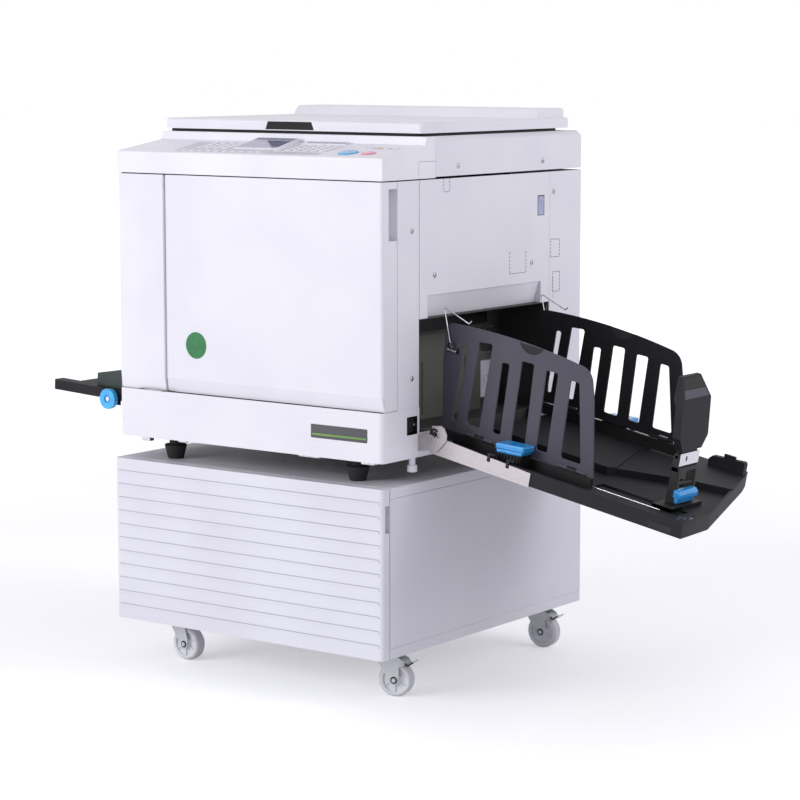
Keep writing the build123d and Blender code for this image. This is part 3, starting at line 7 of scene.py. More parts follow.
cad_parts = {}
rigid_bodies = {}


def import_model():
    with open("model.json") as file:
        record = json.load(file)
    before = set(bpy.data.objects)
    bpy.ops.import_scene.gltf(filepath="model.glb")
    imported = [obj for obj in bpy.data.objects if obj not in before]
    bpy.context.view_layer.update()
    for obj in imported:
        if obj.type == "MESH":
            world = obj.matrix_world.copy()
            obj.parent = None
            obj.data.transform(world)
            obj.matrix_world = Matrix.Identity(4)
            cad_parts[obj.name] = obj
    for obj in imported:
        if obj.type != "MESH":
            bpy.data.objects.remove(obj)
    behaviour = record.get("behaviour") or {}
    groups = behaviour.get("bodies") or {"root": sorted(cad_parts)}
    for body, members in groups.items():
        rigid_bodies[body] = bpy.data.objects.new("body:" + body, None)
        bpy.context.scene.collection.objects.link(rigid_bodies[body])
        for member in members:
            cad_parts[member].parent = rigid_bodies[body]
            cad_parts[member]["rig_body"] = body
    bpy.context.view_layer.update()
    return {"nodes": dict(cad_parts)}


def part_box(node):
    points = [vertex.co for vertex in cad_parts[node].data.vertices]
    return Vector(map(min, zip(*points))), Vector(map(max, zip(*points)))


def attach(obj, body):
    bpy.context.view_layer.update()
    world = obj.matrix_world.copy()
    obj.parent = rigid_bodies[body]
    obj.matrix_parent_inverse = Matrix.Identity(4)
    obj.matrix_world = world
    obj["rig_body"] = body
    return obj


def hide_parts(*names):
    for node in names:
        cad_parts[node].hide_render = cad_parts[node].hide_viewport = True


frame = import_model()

# a digital duplicator on its wheeled cabinet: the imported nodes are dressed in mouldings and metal,
# sizes below are millimetres unless a note says otherwise
nodes = frame["nodes"]
mm = 0.001
scene = bpy.context.scene


# places that turn with a tilted part of the machine
def tiltedPlace(origin, acrossAxis, upAxis):
    across = Vector(acrossAxis).normalized()
    up = Vector(upAxis).normalized()
    deep = up.cross(across)
    place = Matrix((across, deep, up)).transposed().to_4x4()
    place.translation = Vector(origin)
    return place


angles = {"tray": math.radians(11), "feed": math.radians(3.2), "panel": math.atan2(19, 128.5)}
machinePlace = Matrix.Identity(4)
trayPlace = tiltedPlace((347, 0, 490), (math.cos(angles["tray"]), 0, -math.sin(angles["tray"])),
                        (math.sin(angles["tray"]), 0, math.cos(angles["tray"])))
feedPlace = tiltedPlace((-364, 0, 489), (-math.cos(angles["feed"]), 0, math.sin(angles["feed"])),
                        (math.sin(angles["feed"]), 0, math.cos(angles["feed"])))
panelPlace = tiltedPlace((0, -323.5, 988), (1, 0, 0),
                         (0, -math.sin(angles["panel"]), math.cos(angles["panel"])))


# colour and node helpers
def linearColour(code):
    parts = [int(code[i:i + 2], 16) / 255 for i in (1, 3, 5)]
    return tuple(p / 12.92 if p <= 0.04045 else ((p + 0.055) / 1.055) ** 2.4 for p in parts) + (1.0,)


def addNode(tree, kind, settings=None, links=None):
    node = tree.nodes.new(kind)
    for key, value in (settings or {}).items():
        if isinstance(key, int) or key in node.inputs:
            node.inputs[key].default_value = value
        else:
            setattr(node, key, value)
    for key, source in (links or {}).items():
        tree.links.new(source, node.inputs[key])
    return node


def newMaterial(name):
    material = bpy.data.materials.new(name)
    material.use_nodes = True
    tree = material.node_tree
    tree.nodes.clear()
    return material, tree, addNode(tree, "ShaderNodeTexCoord").outputs["Object"]


def paintedRamp(tree, factor, low, high, look):
    ramp = addNode(tree, "ShaderNodeValToRGB", links={"Fac": factor})
    for element, position, tone in zip(ramp.color_ramp.elements, (low, high), ("shade", "colour")):
        element.position = position
        element.color = linearColour(look[tone])
    return ramp.outputs["Color"]


def addNoise(tree, where, sizeMm, detail, roughness=0.5):
    return addNode(tree, "ShaderNodeTexNoise", {"Scale": 1000 / sizeMm, "Detail": detail, "Roughness": roughness},
                   {"Vector": where}).outputs["Fac"]


# a band of the wave texture is 1/20 of its scale
def addWave(tree, where, sizeMm, axis):
    return addNode(tree, "ShaderNodeTexWave",
                   {"wave_type": "BANDS", "bands_direction": axis, "Scale": 1000 / sizeMm / 20},
                   {"Vector": where}).outputs["Fac"]


def addGloss(tree, factor, low, high):
    return addNode(tree, "ShaderNodeMapRange", {"To Min": low, "To Max": high},
                   {"Value": factor}).outputs["Result"]


def spreadGloss(tree, factor, look):
    return addGloss(tree, factor, look["roughness"] - look["spread"], look["roughness"] + look["spread"])


def addBump(tree, height, strength, depthMm):
    return addNode(tree, "ShaderNodeBump", {"Strength": strength, "Distance": depthMm * mm},
                   {"Height": height}).outputs["Normal"]


def addMath(tree, operation, first, second):
    return addNode(tree, "ShaderNodeMath", {"operation": operation}, {0: first, 1: second}).outputs["Value"]


def addShader(tree, settings, links):
    shader = addNode(tree, "ShaderNodeBsdfPrincipled", settings, links)
    addNode(tree, "ShaderNodeOutputMaterial", links={"Surface": shader.outputs["BSDF"]})


# moulded and coated surfaces: a fine grain from the tool, a faint drift of colour, uneven gloss
def mouldedSurface(name, look):
    material, tree, where = newMaterial(name)
    drift = addNoise(tree, where, look["driftMm"], 2.0)
    grain = addNoise(tree, where, look["grainMm"], 3.0, 0.6)
    addShader(tree, {"IOR": look["ior"], "Coat Weight": look["coat"], "Coat Roughness": 0.1},
              {"Base Color": paintedRamp(tree, drift, 0.35, 0.65, look), "Roughness": spreadGloss(tree, drift, look),
               "Normal": addBump(tree, grain, look["strength"], look["depthMm"])})
    return material


# rolled and plated metals: streaks along one axis, crystals of zinc where it is plated
def metalSurface(name, look):
    material, tree, where = newMaterial(name)
    stretch = addNode(tree, "ShaderNodeMapping", {"Scale": look["streak"]}, {"Vector": where})
    streaks = addNoise(tree, stretch.outputs["Vector"], look["streakMm"], 4.0)
    crystals = addNode(tree, "ShaderNodeTexVoronoi", {"Scale": 1000 / look["crystalMm"]}, {"Vector": where})
    blend = addNode(tree, "ShaderNodeMix", {"Factor": look["crystalShare"]},
                    {2: streaks, 3: crystals.outputs["Distance"]}).outputs[0]
    addShader(tree, {"Metallic": 1.0},
              {"Base Color": paintedRamp(tree, blend, 0.3, 0.7, look), "Roughness": spreadGloss(tree, blend, look),
               "Normal": addBump(tree, streaks, 0.25, look["depthMm"])})
    return material


# clear float glass over the platen
def floatGlass(name, look):
    material, tree, where = newMaterial(name)
    dust = addNoise(tree, where, look["dustMm"], 3.0)
    addShader(tree, {"IOR": 1.52, "Transmission Weight": 0.85},
              {"Base Color": paintedRamp(tree, dust, 0.3, 0.7, look),
               "Roughness": addGloss(tree, dust, 0.02, look["roughness"])})
    return material


# a display under clear film: dim cells of liquid crystal in rows, seen through the polariser
def crystalDisplay(name, look):
    material, tree, where = newMaterial(name)
    haze = addNoise(tree, where, look["hazeMm"], 2.0)
    blend = addNode(tree, "ShaderNodeMix", {"Factor": 0.25}, {2: haze, 3: addWave(tree, where, look["rowMm"], "Y")})
    addShader(tree, {"IOR": 1.49, "Coat Weight": 0.6, "Coat Roughness": 0.06},
              {"Base Color": paintedRamp(tree, blend.outputs[0], 0.25, 0.75, look),
               "Roughness": addGloss(tree, haze, 0.08, look["roughness"])})
    return material


# woven steel screen round the drum: threads of two waves at right angles
def screenCloth(name, look):
    material, tree, where = newMaterial(name)
    weave = addMath(tree, "MULTIPLY", *(addWave(tree, where, look["threadMm"], axis) for axis in ("Y", "Z")))
    addShader(tree, {"Metallic": 0.9, "Roughness": look["roughness"]},
              {"Base Color": paintedRamp(tree, weave, 0.05, 0.6, look), "Normal": addBump(tree, weave, 0.5, 0.2)})
    return material


# the columns of a moulded or coated surface; a metal's streak is its stretch along x, y and z
mouldedFields = ("colour", "shade", "roughness", "spread", "grainMm", "depthMm", "strength", "driftMm", "ior", "coat")
moulded = {
    # moulded ABS has a spark texture of about 0.3 mm, drawn at 3 mm so that it shows at all
    "whiteAbs": ("moulded off-white ABS", "#EDECF2", "#E6E4EC", 0.44, 0.06, 3.0, 0.05, 0.25, 220.0, 1.53, 0),
    # the panel and the keys are smoother to the finger than the covers
    "panelAbs": ("satin off-white ABS", "#EFEEF4", "#E9E7EF", 0.36, 0.05, 2.4, 0.03, 0.2, 160.0, 1.53, 0),
    # the cabinet is board in a thin vinyl foil, which shows a little orange peel
    "vinylFoil": ("vinyl foil on fibreboard", "#E5E4EC", "#DEDCE5", 0.4, 0.07, 6.0, 0.06, 0.3, 260.0, 1.5, 0),
    # inside the outlet the sheet is coated in a browner grey; the feed guides are dyed a green-black
    "exitSheet": ("brown-grey coated sheet", "#56554F", "#4A4945", 0.5, 0.06, 4.0, 0.05, 0.3, 120.0, 1.5, 0),
    "greenBlackAbs": ("green-black ABS", "#1B2C29", "#142220", 0.5, 0.06, 3.0, 0.04, 0.3, 60.0, 1.53, 0),
    # glass-filled dark ABS of the trays scatters light in a matt bloom
    "darkAbs": ("textured charcoal ABS", "#211F25", "#1B191E", 0.6, 0.06, 3.0, 0.06, 0.35, 90.0, 1.3, 0),
    # the front guide has a rougher, greyer face than the deck
    "guideAbs": ("matt violet-grey ABS", "#4B4853", "#444150", 0.6, 0.06, 3.0, 0.06, 0.35, 90.0, 1.45, 0),
    "darkSheet": ("black powder-coated sheet", "#2B2B2B", "#232424", 0.55, 0.06, 4.0, 0.08, 0.4, 120.0, 1.5, 0),
    "blackNylon": ("black nylon", "#1B1B1D", "#141416", 0.5, 0.08, 3.0, 0.04, 0.3, 40.0, 1.36, 0),
    "footRubber": ("black neoprene rubber", "#1C1B1D", "#141315", 0.78, 0.08, 3.0, 0.08, 0.45, 30.0, 1.52, 0),
    "rollerRubber": ("ground silicone rubber", "#2E2C2B", "#252322", 0.7, 0.06, 2.0, 0.05, 0.4, 50.0, 1.43, 0),
    "greyNylon": ("pale grey cast nylon", "#E2E3E8", "#D9DADF", 0.46, 0.08, 2.5, 0.05, 0.3, 24.0, 1.53, 0),
    "wheelTread": ("pale thermoplastic rubber", "#D2D0D4", "#C8C6CA", 0.62, 0.08, 2.5, 0.08, 0.35, 20.0, 1.5, 0),
    "gripBlue": ("gloss blue ABS", "#2FA2EC", "#2794DE", 0.26, 0.05, 3.0, 0.03, 0.2, 18.0, 1.53, 0.25),
    "dialBlue": ("satin sky-blue ABS", "#43BAF7", "#37ABEA", 0.3, 0.05, 3.0, 0.03, 0.2, 14.0, 1.53, 0.2),
    "keyBlue": ("translucent blue key cap", "#55B4E4", "#44A3D8", 0.24, 0.04, 3.0, 0.02, 0.2, 16.0, 1.49, 0.4),
    "keyPink": ("translucent pink key cap", "#EE9FB4", "#E58BA4", 0.24, 0.04, 3.0, 0.02, 0.2, 16.0, 1.49, 0.4),
    "keyOrange": ("translucent orange key cap", "#F4C089", "#EDB073", 0.24, 0.04, 3.0, 0.02, 0.2, 10.0, 1.49, 0.4),
    "keyWhite": ("white silicone key cap", "#F3F2F6", "#ECEAF1", 0.4, 0.05, 2.0, 0.02, 0.2, 12.0, 1.45, 0),
    "greyFilm": ("grey printed polyester film", "#CDCCD5", "#C4C2CD", 0.34, 0.05, 2.5, 0.02, 0.2, 60.0, 1.57, 0),
    "whitePvc": ("white vinyl platen pad", "#EEEDEB", "#E5E4E2", 0.5, 0.06, 3.0, 0.05, 0.3, 120.0, 1.5, 0),
    "cartridgeHdpe": ("grey polyethylene bottle", "#8E8F94", "#7F8086", 0.45, 0.06, 3.0, 0.05, 0.3, 50.0, 1.54, 0),
    "badgeBlack": ("charcoal enamel badge", "#3A3C40", "#313337", 0.3, 0.05, 3.0, 0.02, 0.2, 40.0, 1.5, 0.4),
    "badgeGreen": ("green enamel stripe", "#6FA22B", "#5F9222", 0.3, 0.05, 3.0, 0.02, 0.2, 40.0, 1.5, 0.4),
    "stickerGreen": ("green vinyl sticker", "#1F7B40", "#186C36", 0.36, 0.05, 3.0, 0.02, 0.2, 22.0, 1.5, 0),
    "windowBlue": ("smoked blue window", "#A9AFD0", "#949ABF", 0.2, 0.05, 3.0, 0.02, 0.2, 20.0, 1.49, 0.5),
    # painted shade: the grey of the door's grooves, laid on as strips over the bands
    "paintedBandShade": ("vinyl foil with painted band shade", "#BAB9C4", "#B2B1BC", 0.6, 0.05, 6.0, 0.04, 0.2, 200.0, 1.5, 0),
    "forkPaint": ("grey enamel on pressed steel", "#D2D4D6", "#CACCCE", 0.4, 0.05, 3.0, 0.03, 0.2, 60.0, 1.5, 0),
    # painted shade: black laid into gaps, slots, dashes and recesses where shadow falls
    "shadowLine": ("matt black painted shadow", "#1A1A1C", "#131315", 0.8, 0.05, 4.0, 0.04, 0.3, 60.0, 1.5, 0),
    # painted shade: the grey of the side seams, and the painted shadow round each screw head
    "paintedShadeGrey": ("grey line left by the mould", "#7E7C88", "#6B6975", 0.6, 0.05, 3.0, 0.03, 0.3, 14.0, 1.53, 0),
}
metalFields = ("colour", "shade", "roughness", "spread", "streak", "streakMm", "crystalMm", "crystalShare", "depthMm")
metals = {
    "zincSteel": ("zinc-plated steel", "#C9CACF", "#A5A6AC", 0.34, 0.08, (1.0, 1.0, 0.2), 6.0, 7.0, 0.5, 0.03),
    # painted shade: zinc darkened so that the frame plates seen through the sheet slot look shaded
    "dullZinc": ("dulled zinc-plated sheet", "#5C5D60", "#4E4F52", 0.5, 0.06, (1.0, 1.0, 0.2), 8.0, 40.0, 0.2, 0.02),
    "cardSteel": ("rolled bracket steel", "#B2ACAF", "#AAA4A7", 0.5, 0.04, (0.4, 1.0, 1.0), 3.0, 9.0, 0.2, 0.01),
    "springWire": ("bright spring wire", "#D6D6DB", "#A9A9B0", 0.22, 0.06, (1.0, 1.0, 0.1), 2.0, 5.0, 0.1, 0.01),
    "chromeRail": ("polished steel rail", "#E9E9EE", "#CFCFD6", 0.14, 0.04, (0.05, 1.0, 1.0), 2.0, 9.0, 0.1, 0.01),
}
materials = {key: mouldedSurface(label, dict(zip(mouldedFields, look))) for key, (label, *look) in moulded.items()}
for key, (label, *look) in metals.items():
    materials[key] = metalSurface(label, dict(zip(metalFields, look)))
materials["platenGlass"] = floatGlass("float glass", {
    "colour": "#E6F0EC", "shade": "#D8E6E1", "roughness": 0.06, "dustMm": 90.0})
materials["displayGlass"] = crystalDisplay("liquid crystal display", {
    "colour": "#9A9AB2", "shade": "#77778F", "roughness": 0.16, "rowMm": 4.0, "hazeMm": 60.0})
# real threads are 0.1 mm
materials["drumScreen"] = screenCloth("woven steel drum screen", {
    "colour": "#A8A9AE", "shade": "#4B4C52", "roughness": 0.38, "threadMm": 5.0})
print("materials made")


# mesh helpers, all in millimetres until finishPiece
def addBlock(bm, low, high):
    size = [h - l for l, h in zip(low, high)]
    middle = Vector([(h + l) / 2 for l, h in zip(low, high)])
    place = Matrix.Translation(middle) @ Matrix.Diagonal((*size, 1))
    return bmesh.ops.create_cube(bm, size=1, matrix=place)["verts"]


def addBar(bm, start, end, radius, endRadius=None, segments=48):
    run = Vector(end) - Vector(start)
    turn = run.to_track_quat("Z", "Y").to_matrix().to_4x4()
    place = Matrix.Translation((Vector(start) + Vector(end)) / 2) @ turn
    return bmesh.ops.create_cone(bm, cap_ends=True, segments=segments, radius1=radius,
                                 radius2=radius if endRadius is None else endRadius,
                                 depth=run.length, matrix=place)["verts"]


planeTurns = {
    "xy": Matrix.Identity(4),
    "xz": Matrix(((1, 0, 0, 0), (0, 0, 1, 0), (0, 1, 0, 0), (0, 0, 0, 1))),
    "yz": Matrix(((0, 0, 1, 0), (1, 0, 0, 0), (0, 1, 0, 0), (0, 0, 0, 1))),
}


# a flat outline with any holes, grown to a thickness; both rims are chamfered
def addPlate(bm, outline, plane, start, thickness, holes=(), rim=0.0):
    edges = []
    ring = []
    for loop in (outline, *holes):
        ring = [bm.verts.new((p, q, 0)) for p, q in loop]
        edges += [bm.edges.new((ring[i - 1], ring[i])) for i in range(len(ring))]
    if holes:
        filled = bmesh.ops.triangle_fill(bm, edges=edges, use_beauty=True, use_dissolve=False)["geom"]
        faces = [f for f in filled if isinstance(f, bmesh.types.BMFace)]
    else:
        faces = [bm.faces.new(ring)]
    grown = bmesh.ops.extrude_face_region(bm, geom=faces)["geom"]
    capFaces = [g for g in grown if isinstance(g, bmesh.types.BMFace)]
    capVerts = [g for g in grown if isinstance(g, bmesh.types.BMVert)]
    bmesh.ops.translate(bm, verts=capVerts, vec=(0, 0, thickness - 2 * rim))
    shell = set(faces) | set(capFaces)
    for vert in capVerts:
        shell |= set(vert.link_faces)
    bmesh.ops.recalc_face_normals(bm, faces=list(shell))
    if rim:
        for group in (faces, capFaces):
            bmesh.ops.inset_region(bm, faces=group, thickness=rim, depth=rim, use_even_offset=True)
    verts = set()
    for face in shell:
        verts |= set(face.verts)
    for vert in list(verts):
        for face in vert.link_faces:
            verts |= set(face.verts)
    bmesh.ops.transform(bm, matrix=planeTurns[plane] @ Matrix.Translation((0, 0, start + rim)), verts=list(verts))
    return list(verts)


# rounded corners on a list of points: each corner becomes an arc that touches both sides
def softOutline(points, radius):
    steps = 4
    soft = []
    for i, point in enumerate(points):
        here = Vector(point)
        before = Vector(points[i - 1]) - here
        after = Vector(points[(i + 1) % len(points)]) - here
        turn = before.angle(after)
        cut = min(radius / math.tan(turn / 2), 0.45 * before.length, 0.45 * after.length)
        bend = cut * math.tan(turn / 2)
        first = here + before.normalized() * cut
        last = here + after.normalized() * cut
        centre = here + (before.normalized() + after.normalized()).normalized() * (bend / math.sin(turn / 2))
        for step in range(steps + 1):
            mid = (first - centre).lerp(last - centre, step / steps)
            soft.append(tuple(centre + mid.normalized() * bend))
    return soft


def rectangle(left, right, low, high):
    return [(left, low), (right, low), (right, high), (left, high)]


def ringPoints(centre, radius, steps=32, start=0.0, sweep=2 * math.pi):
    full = abs(sweep - 2 * math.pi) < 1e-6
    count = steps if full else steps + 1
    return [(centre[0] + radius * math.cos(start + sweep * i / steps),
             centre[1] + radius * math.sin(start + sweep * i / steps)) for i in range(count)]


# outside edges sharper than this are bevelled, and an edge flatter than smoothAngle is shaded smooth
bevelAngle = math.radians(32)
smoothAngle = math.radians(40)


# a profile turned round an axis through the centre
def spinProfile(bm, points, centre, axis, closed=False):
    verts = [bm.verts.new(point) for point in points]
    edges = [bm.edges.new(pair) for pair in zip(verts, verts[1:] + verts[:closed])]
    bmesh.ops.spin(bm, geom=verts + edges, cent=centre, axis=axis, angle=2 * math.pi, steps=64, use_merge=True)


def softenEdges(bm, width):
    bmesh.ops.recalc_face_normals(bm, faces=bm.faces)
    edges = [e for e in bm.edges if len(e.link_faces) == 2 and e.calc_face_angle() > bevelAngle and e.is_convex]
    bmesh.ops.bevel(bm, geom=edges, offset=width, offset_type="OFFSET", segments=2, profile=0.5,
                    affect="EDGES", clamp_overlap=True, material=-1)


# a mesh in millimetres becomes a piece that rides the body of the node called carrier
def finishPiece(bm, name, carrier, material, place=machinePlace, soften=0.0, replaced=()):
    body = nodes[carrier]["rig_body"]
    bmesh.ops.remove_doubles(bm, verts=bm.verts, dist=0.001)
    bmesh.ops.recalc_face_normals(bm, faces=bm.faces)
    if soften:
        softenEdges(bm, soften)
    bmesh.ops.transform(bm, matrix=Matrix.Scale(mm, 4) @ place, verts=bm.verts)
    for face in bm.faces:
        face.smooth = True
    for edge in bm.edges:
        edge.smooth = len(edge.link_faces) == 2 and edge.calc_face_angle() < smoothAngle
    mesh = bpy.data.meshes.new(name)
    bm.to_mesh(mesh)
    bm.free()
    piece = bpy.data.objects.new(name, mesh)
    scene.collection.objects.link(piece)
    piece.data.materials.append(materials[material])
    flatter = piece.modifiers.new("flat faces first", "WEIGHTED_NORMAL")
    flatter.keep_sharp = True
    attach(piece, body)
    if replaced:
        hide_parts(*replaced)
    return piece


# pieces made of a single plate or a single block
def finishPlate(name, carrier, material, outline, plane, start, thickness, place=machinePlace, holes=(),
                rim=0.0):
    bm = bmesh.new()
    addPlate(bm, outline, plane, start, thickness, holes, rim)
    return finishPiece(bm, name, carrier, material, place)


def finishBlock(name, carrier, material, low, high, place=machinePlace):
    bm = bmesh.new()
    addBlock(bm, low, high)
    return finishPiece(bm, name, carrier, material, place)


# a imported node's own shape with its flats joined up and its edges softened like a moulding's
def dressNode(node, material, soften, shape=None, side=""):
    first, *others = node.split("_")
    if side:
        others.pop()
    pieceName = first + "".join(word.title() for word in others) + side
    bm = bmesh.new()
    bm.from_mesh(nodes[node].data)
    bmesh.ops.transform(bm, matrix=Matrix.Scale(1 / mm, 4), verts=bm.verts)
    bmesh.ops.remove_doubles(bm, verts=bm.verts, dist=0.01)
    bmesh.ops.dissolve_limit(bm, angle_limit=math.radians(0.8), verts=bm.verts, edges=bm.edges)
    if shape:
        shape(bm)
    if soften:
        softenEdges(bm, soften)
    return finishPiece(bm, pieceName, node, material, replaced=(node,))


def repaint(node, material):
    for place in nodes[node].material_slots:
        place.material = materials[material]


# the front skin of a cover drawn back a little, which leaves room for a badge or a sticker on it
def thinFront(bm, depth=0.45, front=-323.5):
    for vert in bm.verts:
        if vert.co.y < front + 0.05:
            vert.co.y += depth


# the cabinet
dressNode("cabinet_top", "vinylFoil", 1.0)
dressNode("cabinet_base", "vinylFoil", 1.0)
dressNode("cabinet_panels", "vinylFoil", 0.6)
dressNode("cabinet_door", "vinylFoil", 0.5)


# painted shade: a grey strip above each of the door's bands stands for the shade in its groove, which the photograph
# shows as fine grey lines
doorBands = {"low": 90.0, "pitch": 26.0, "count": 12, "top": 2.0, "height": 1.5, "ends": (-311.0, 313.0),
             "skin": 2.0, "rise": 0.25}


def buildDoorShades():
    front = 1000 * min(corner[1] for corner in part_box("cabinet_door")) + doorBands["skin"]
    bm = bmesh.new()
    for band in range(1, doorBands["count"]):
        low = doorBands["low"] + band * doorBands["pitch"] + doorBands["top"]
        addBlock(bm, (doorBands["ends"][0], front - doorBands["rise"], low),
                 (doorBands["ends"][1], front + 0.4, low + doorBands["height"]))
    finishPiece(bm, "doorShades", "cabinet_door", "paintedBandShade")


buildDoorShades()


# one swivel caster: pressed fork, nylon wheel with a rubber tread, and the pedal of the braked ones
casterSpots = {"front_left": ((-249.3, -231.0), 0.0), "front_right": ((249.3, -231.0), 16.0),
               "rear_right": ((249.3, 266.6), 4.0), "rear_left": ((-249.3, 266.6), -8.0)}
caster = {
    "trail": 24.0, "axle": 32.0, "top": 86.7, "cheek": (14.0, 2.5), "swell": 9.0,
    "wheel": ((4.1, 12.8), (10.4, 12.8), (11.0, 12.2), (11.0, 8.6), (13.0, 8.0), (22.0, 8.0), (24.0, 8.6),
              (24.0, 11.6), (24.6, 12.0), (27.6, 12.0), (28.4, 11.2)),
    "tread": ((28.3, 10.8), (29.4, 11.0), (30.9, 9.9), (31.8, 8.2), (32.0, 6.0)),
    "ribs": 6, "ribLow": 10.5, "ribHigh": 24.2, "ribWidth": 1.8, "ribTop": 10.6,
    "washer": 7.0, "nut": 4.4, "nutEnd": 19.0, "bladeEdge": (-13.5, -11.6), "braked": ("front_right", "rear_right"),
    "pin": (42, 64), "ears": ((33, 74), (43, 68.5), (45.5, 64), (43, 60), (33, 57)),
    "blade": [(28.5, 66.6), (33, 69.2), (38.5, 68.8), (45, 65.6), (50, 61.6), (60, 68.2), (61.4, 66.2), (50.4, 58.6),
              (44, 62.2), (38, 65.6), (33.4, 66.8), (29.2, 65.4)],
}


def spinWheel(bm, profile, hub):
    points = [*profile, *((r, -y) for r, y in reversed(profile))]
    spinProfile(bm, [(hub[0] + r, y, hub[2]) for r, y in points], hub, (0, 1, 0), closed=True)


def buildCaster(name, spot, turn):
    place = Matrix.Translation((*spot, 0)) @ Matrix.Rotation(math.radians(turn), 4, "Z")
    hub = (caster["trail"], 0, caster["axle"])
    carrier = "caster_wheel_" + name
    bm = bmesh.new()
    spinWheel(bm, caster["wheel"], hub)
    for side in (-1, 1):
        for rib in range(caster["ribs"]):
            angle = math.radians(30) + rib * 2 * math.pi / caster["ribs"]
            verts = addBlock(bm, (caster["ribLow"], -caster["ribTop"] if side < 0 else 0.5, -caster["ribWidth"] / 2),
                             (caster["ribHigh"], -0.5 if side < 0 else caster["ribTop"], caster["ribWidth"] / 2))
            bmesh.ops.transform(bm, matrix=Matrix.Translation(hub) @ Matrix.Rotation(angle, 4, "Y"), verts=verts)
    finishPiece(bm, "casterWheel." + name, carrier, "greyNylon", place, replaced=("caster_wheel_" + name,))
    bm = bmesh.new()
    spinWheel(bm, caster["tread"], hub)
    finishPiece(bm, "casterTread." + name, carrier, "wheelTread", place)

    fork = "caster_fork_" + name
    inner, thick = caster["cheek"]
    bm = bmesh.new()
    braked = name in caster["braked"]
    outline = [(-17, caster["top"]), (20, caster["top"]), (33, 42)]
    outline += [(hub[0] + p, hub[2] + q) for p, q in ringPoints((0, 0), caster["swell"], 12, 0.25, -math.pi)]
    outline += [(-17, caster["top"] - 8)]
    if braked:
        outline[1:2] = [(27, caster["top"]), *caster["ears"]]
    for side in (-1, 1):
        start = inner if side > 0 else -inner - thick
        addPlate(bm, softOutline(outline, 4.0), "xz", start, thick, rim=0.4)
    addBlock(bm, (-17, -inner - thick, caster["top"] - 3), (20, inner + thick, caster["top"]))
    addBar(bm, (0, 0, caster["top"] - 9), (0, 0, caster["top"]), 15.0, 17.0)
    for side in (-1, 1):
        addBar(bm, (hub[0], side * (inner + thick), hub[2]), (hub[0], side * caster["nutEnd"], hub[2]),
               caster["nut"], 3.6, 24)
    addBar(bm, (hub[0], -inner, hub[2]), (hub[0], inner, hub[2]), 4.0)
    u, w = caster["pin"]
    if braked:
        addBar(bm, (u, -inner - thick, w), (u, inner + thick, w), 2.0, None, 24)
    finishPiece(bm, "casterFork." + name, fork, "forkPaint", place, replaced=("caster_fork_" + name,))
    bm = bmesh.new()
    for side in (-1, 1):
        addBar(bm, (hub[0], side * (inner + thick - 0.3), hub[2]), (hub[0], side * (inner + thick + 0.8), hub[2]),
               caster["washer"], 6.4)
    finishPiece(bm, "axleWashers." + name, fork, "blackNylon", place)
    if braked:
        bm = bmesh.new()
        lever = "brake_lever_" + name
        edge = caster["bladeEdge"]
        addPlate(bm, caster["blade"], "xz", edge[1], -edge[0] - edge[1], rim=0.4)
        addBar(bm, (u, edge[0], w), (u, -edge[0], w), 3.4, None, 24)
        finishPiece(bm, "brakePedal." + name, lever, "forkPaint", place, replaced=("brake_lever_" + name,))
        # painted shade: the pedal's front face is a black plate, for the shade along its edge
        finishPlate("pedalShadeFace." + name, lever, "blackNylon", caster["blade"], "xz", edge[0],
                    edge[1] - edge[0], place, rim=0.3)


for spotName, (spot, turn) in casterSpots.items():
    buildCaster(spotName, spot, turn)
dressNode("caster_plates", "zincSteel", 0.4)
dressNode("hinge_leaves", "zincSteel", 0.2)
print("cabinet dressed")


# the covers; the pillar carries on the crease of the door beside it
def tuckUnder(bm, crease=564.0, low=537.5, depth=5.0, skin=-318.5):
    thinFront(bm)
    bmesh.ops.bisect_plane(bm, geom=[*bm.verts, *bm.edges, *bm.faces], dist=0.001, plane_co=(0, 0, crease),
                           plane_no=(0, 0, 1))
    for vert in bm.verts:
        if vert.co.y < skin and vert.co.z < crease - 0.5:
            vert.co.y += depth * (crease - vert.co.z) / (crease - low)


for node, shape in (("base_skirt", thinFront), ("front_left_pillar", tuckUnder), ("front_cover", tuckUnder),
                    ("front_right_pillar", None), ("right_side_panel", None), ("left_side_panel", None),
                    ("rear_cover", None), ("scanner_housing", None), ("original_cover", None)):
    dressNode(node, "whiteAbs", 0.7, shape)
dressNode("control_panel", "panelAbs", 0.8)
dressNode("start_key", "keyBlue", 0.0)
dressNode("stop_key", "keyPink", 0.0)
dressNode("cover_pad", "whitePvc", 1.2)
dressNode("mains_inlet", "blackNylon", 0.5)
dressNode("power_switch", "blackNylon", 0.5)
print("covers dressed")


# a plain badge with its stripe on the skirt, and a plain round sticker on the front cover
badge = {"left": 152, "right": 280, "low": 481, "high": 506, "stripe": (486.5, 489.5), "front": -323.45,
         "sticker": (-120, 630), "stickerRadius": 25}


def buildBadges():
    left, right, front = badge["left"], badge["right"], badge["front"]
    outline = softOutline(rectangle(left, right, badge["low"], badge["high"]), 2.0)
    finishPlate("badgePlate", "base_skirt", "badgeBlack", outline, "xz", front, 1.0, rim=0.15)
    low, high = badge["stripe"]
    finishBlock("badgeStripe", "base_skirt", "badgeGreen", (left + 3, front - 0.04, low),
                (right - 3, front + 0.4, high))
    finishPlate("roundSticker", "front_cover", "stickerGreen",
                ringPoints(badge["sticker"], badge["stickerRadius"], 64), "xz", front + 0.1, 0.5, rim=0.05)


buildBadges()


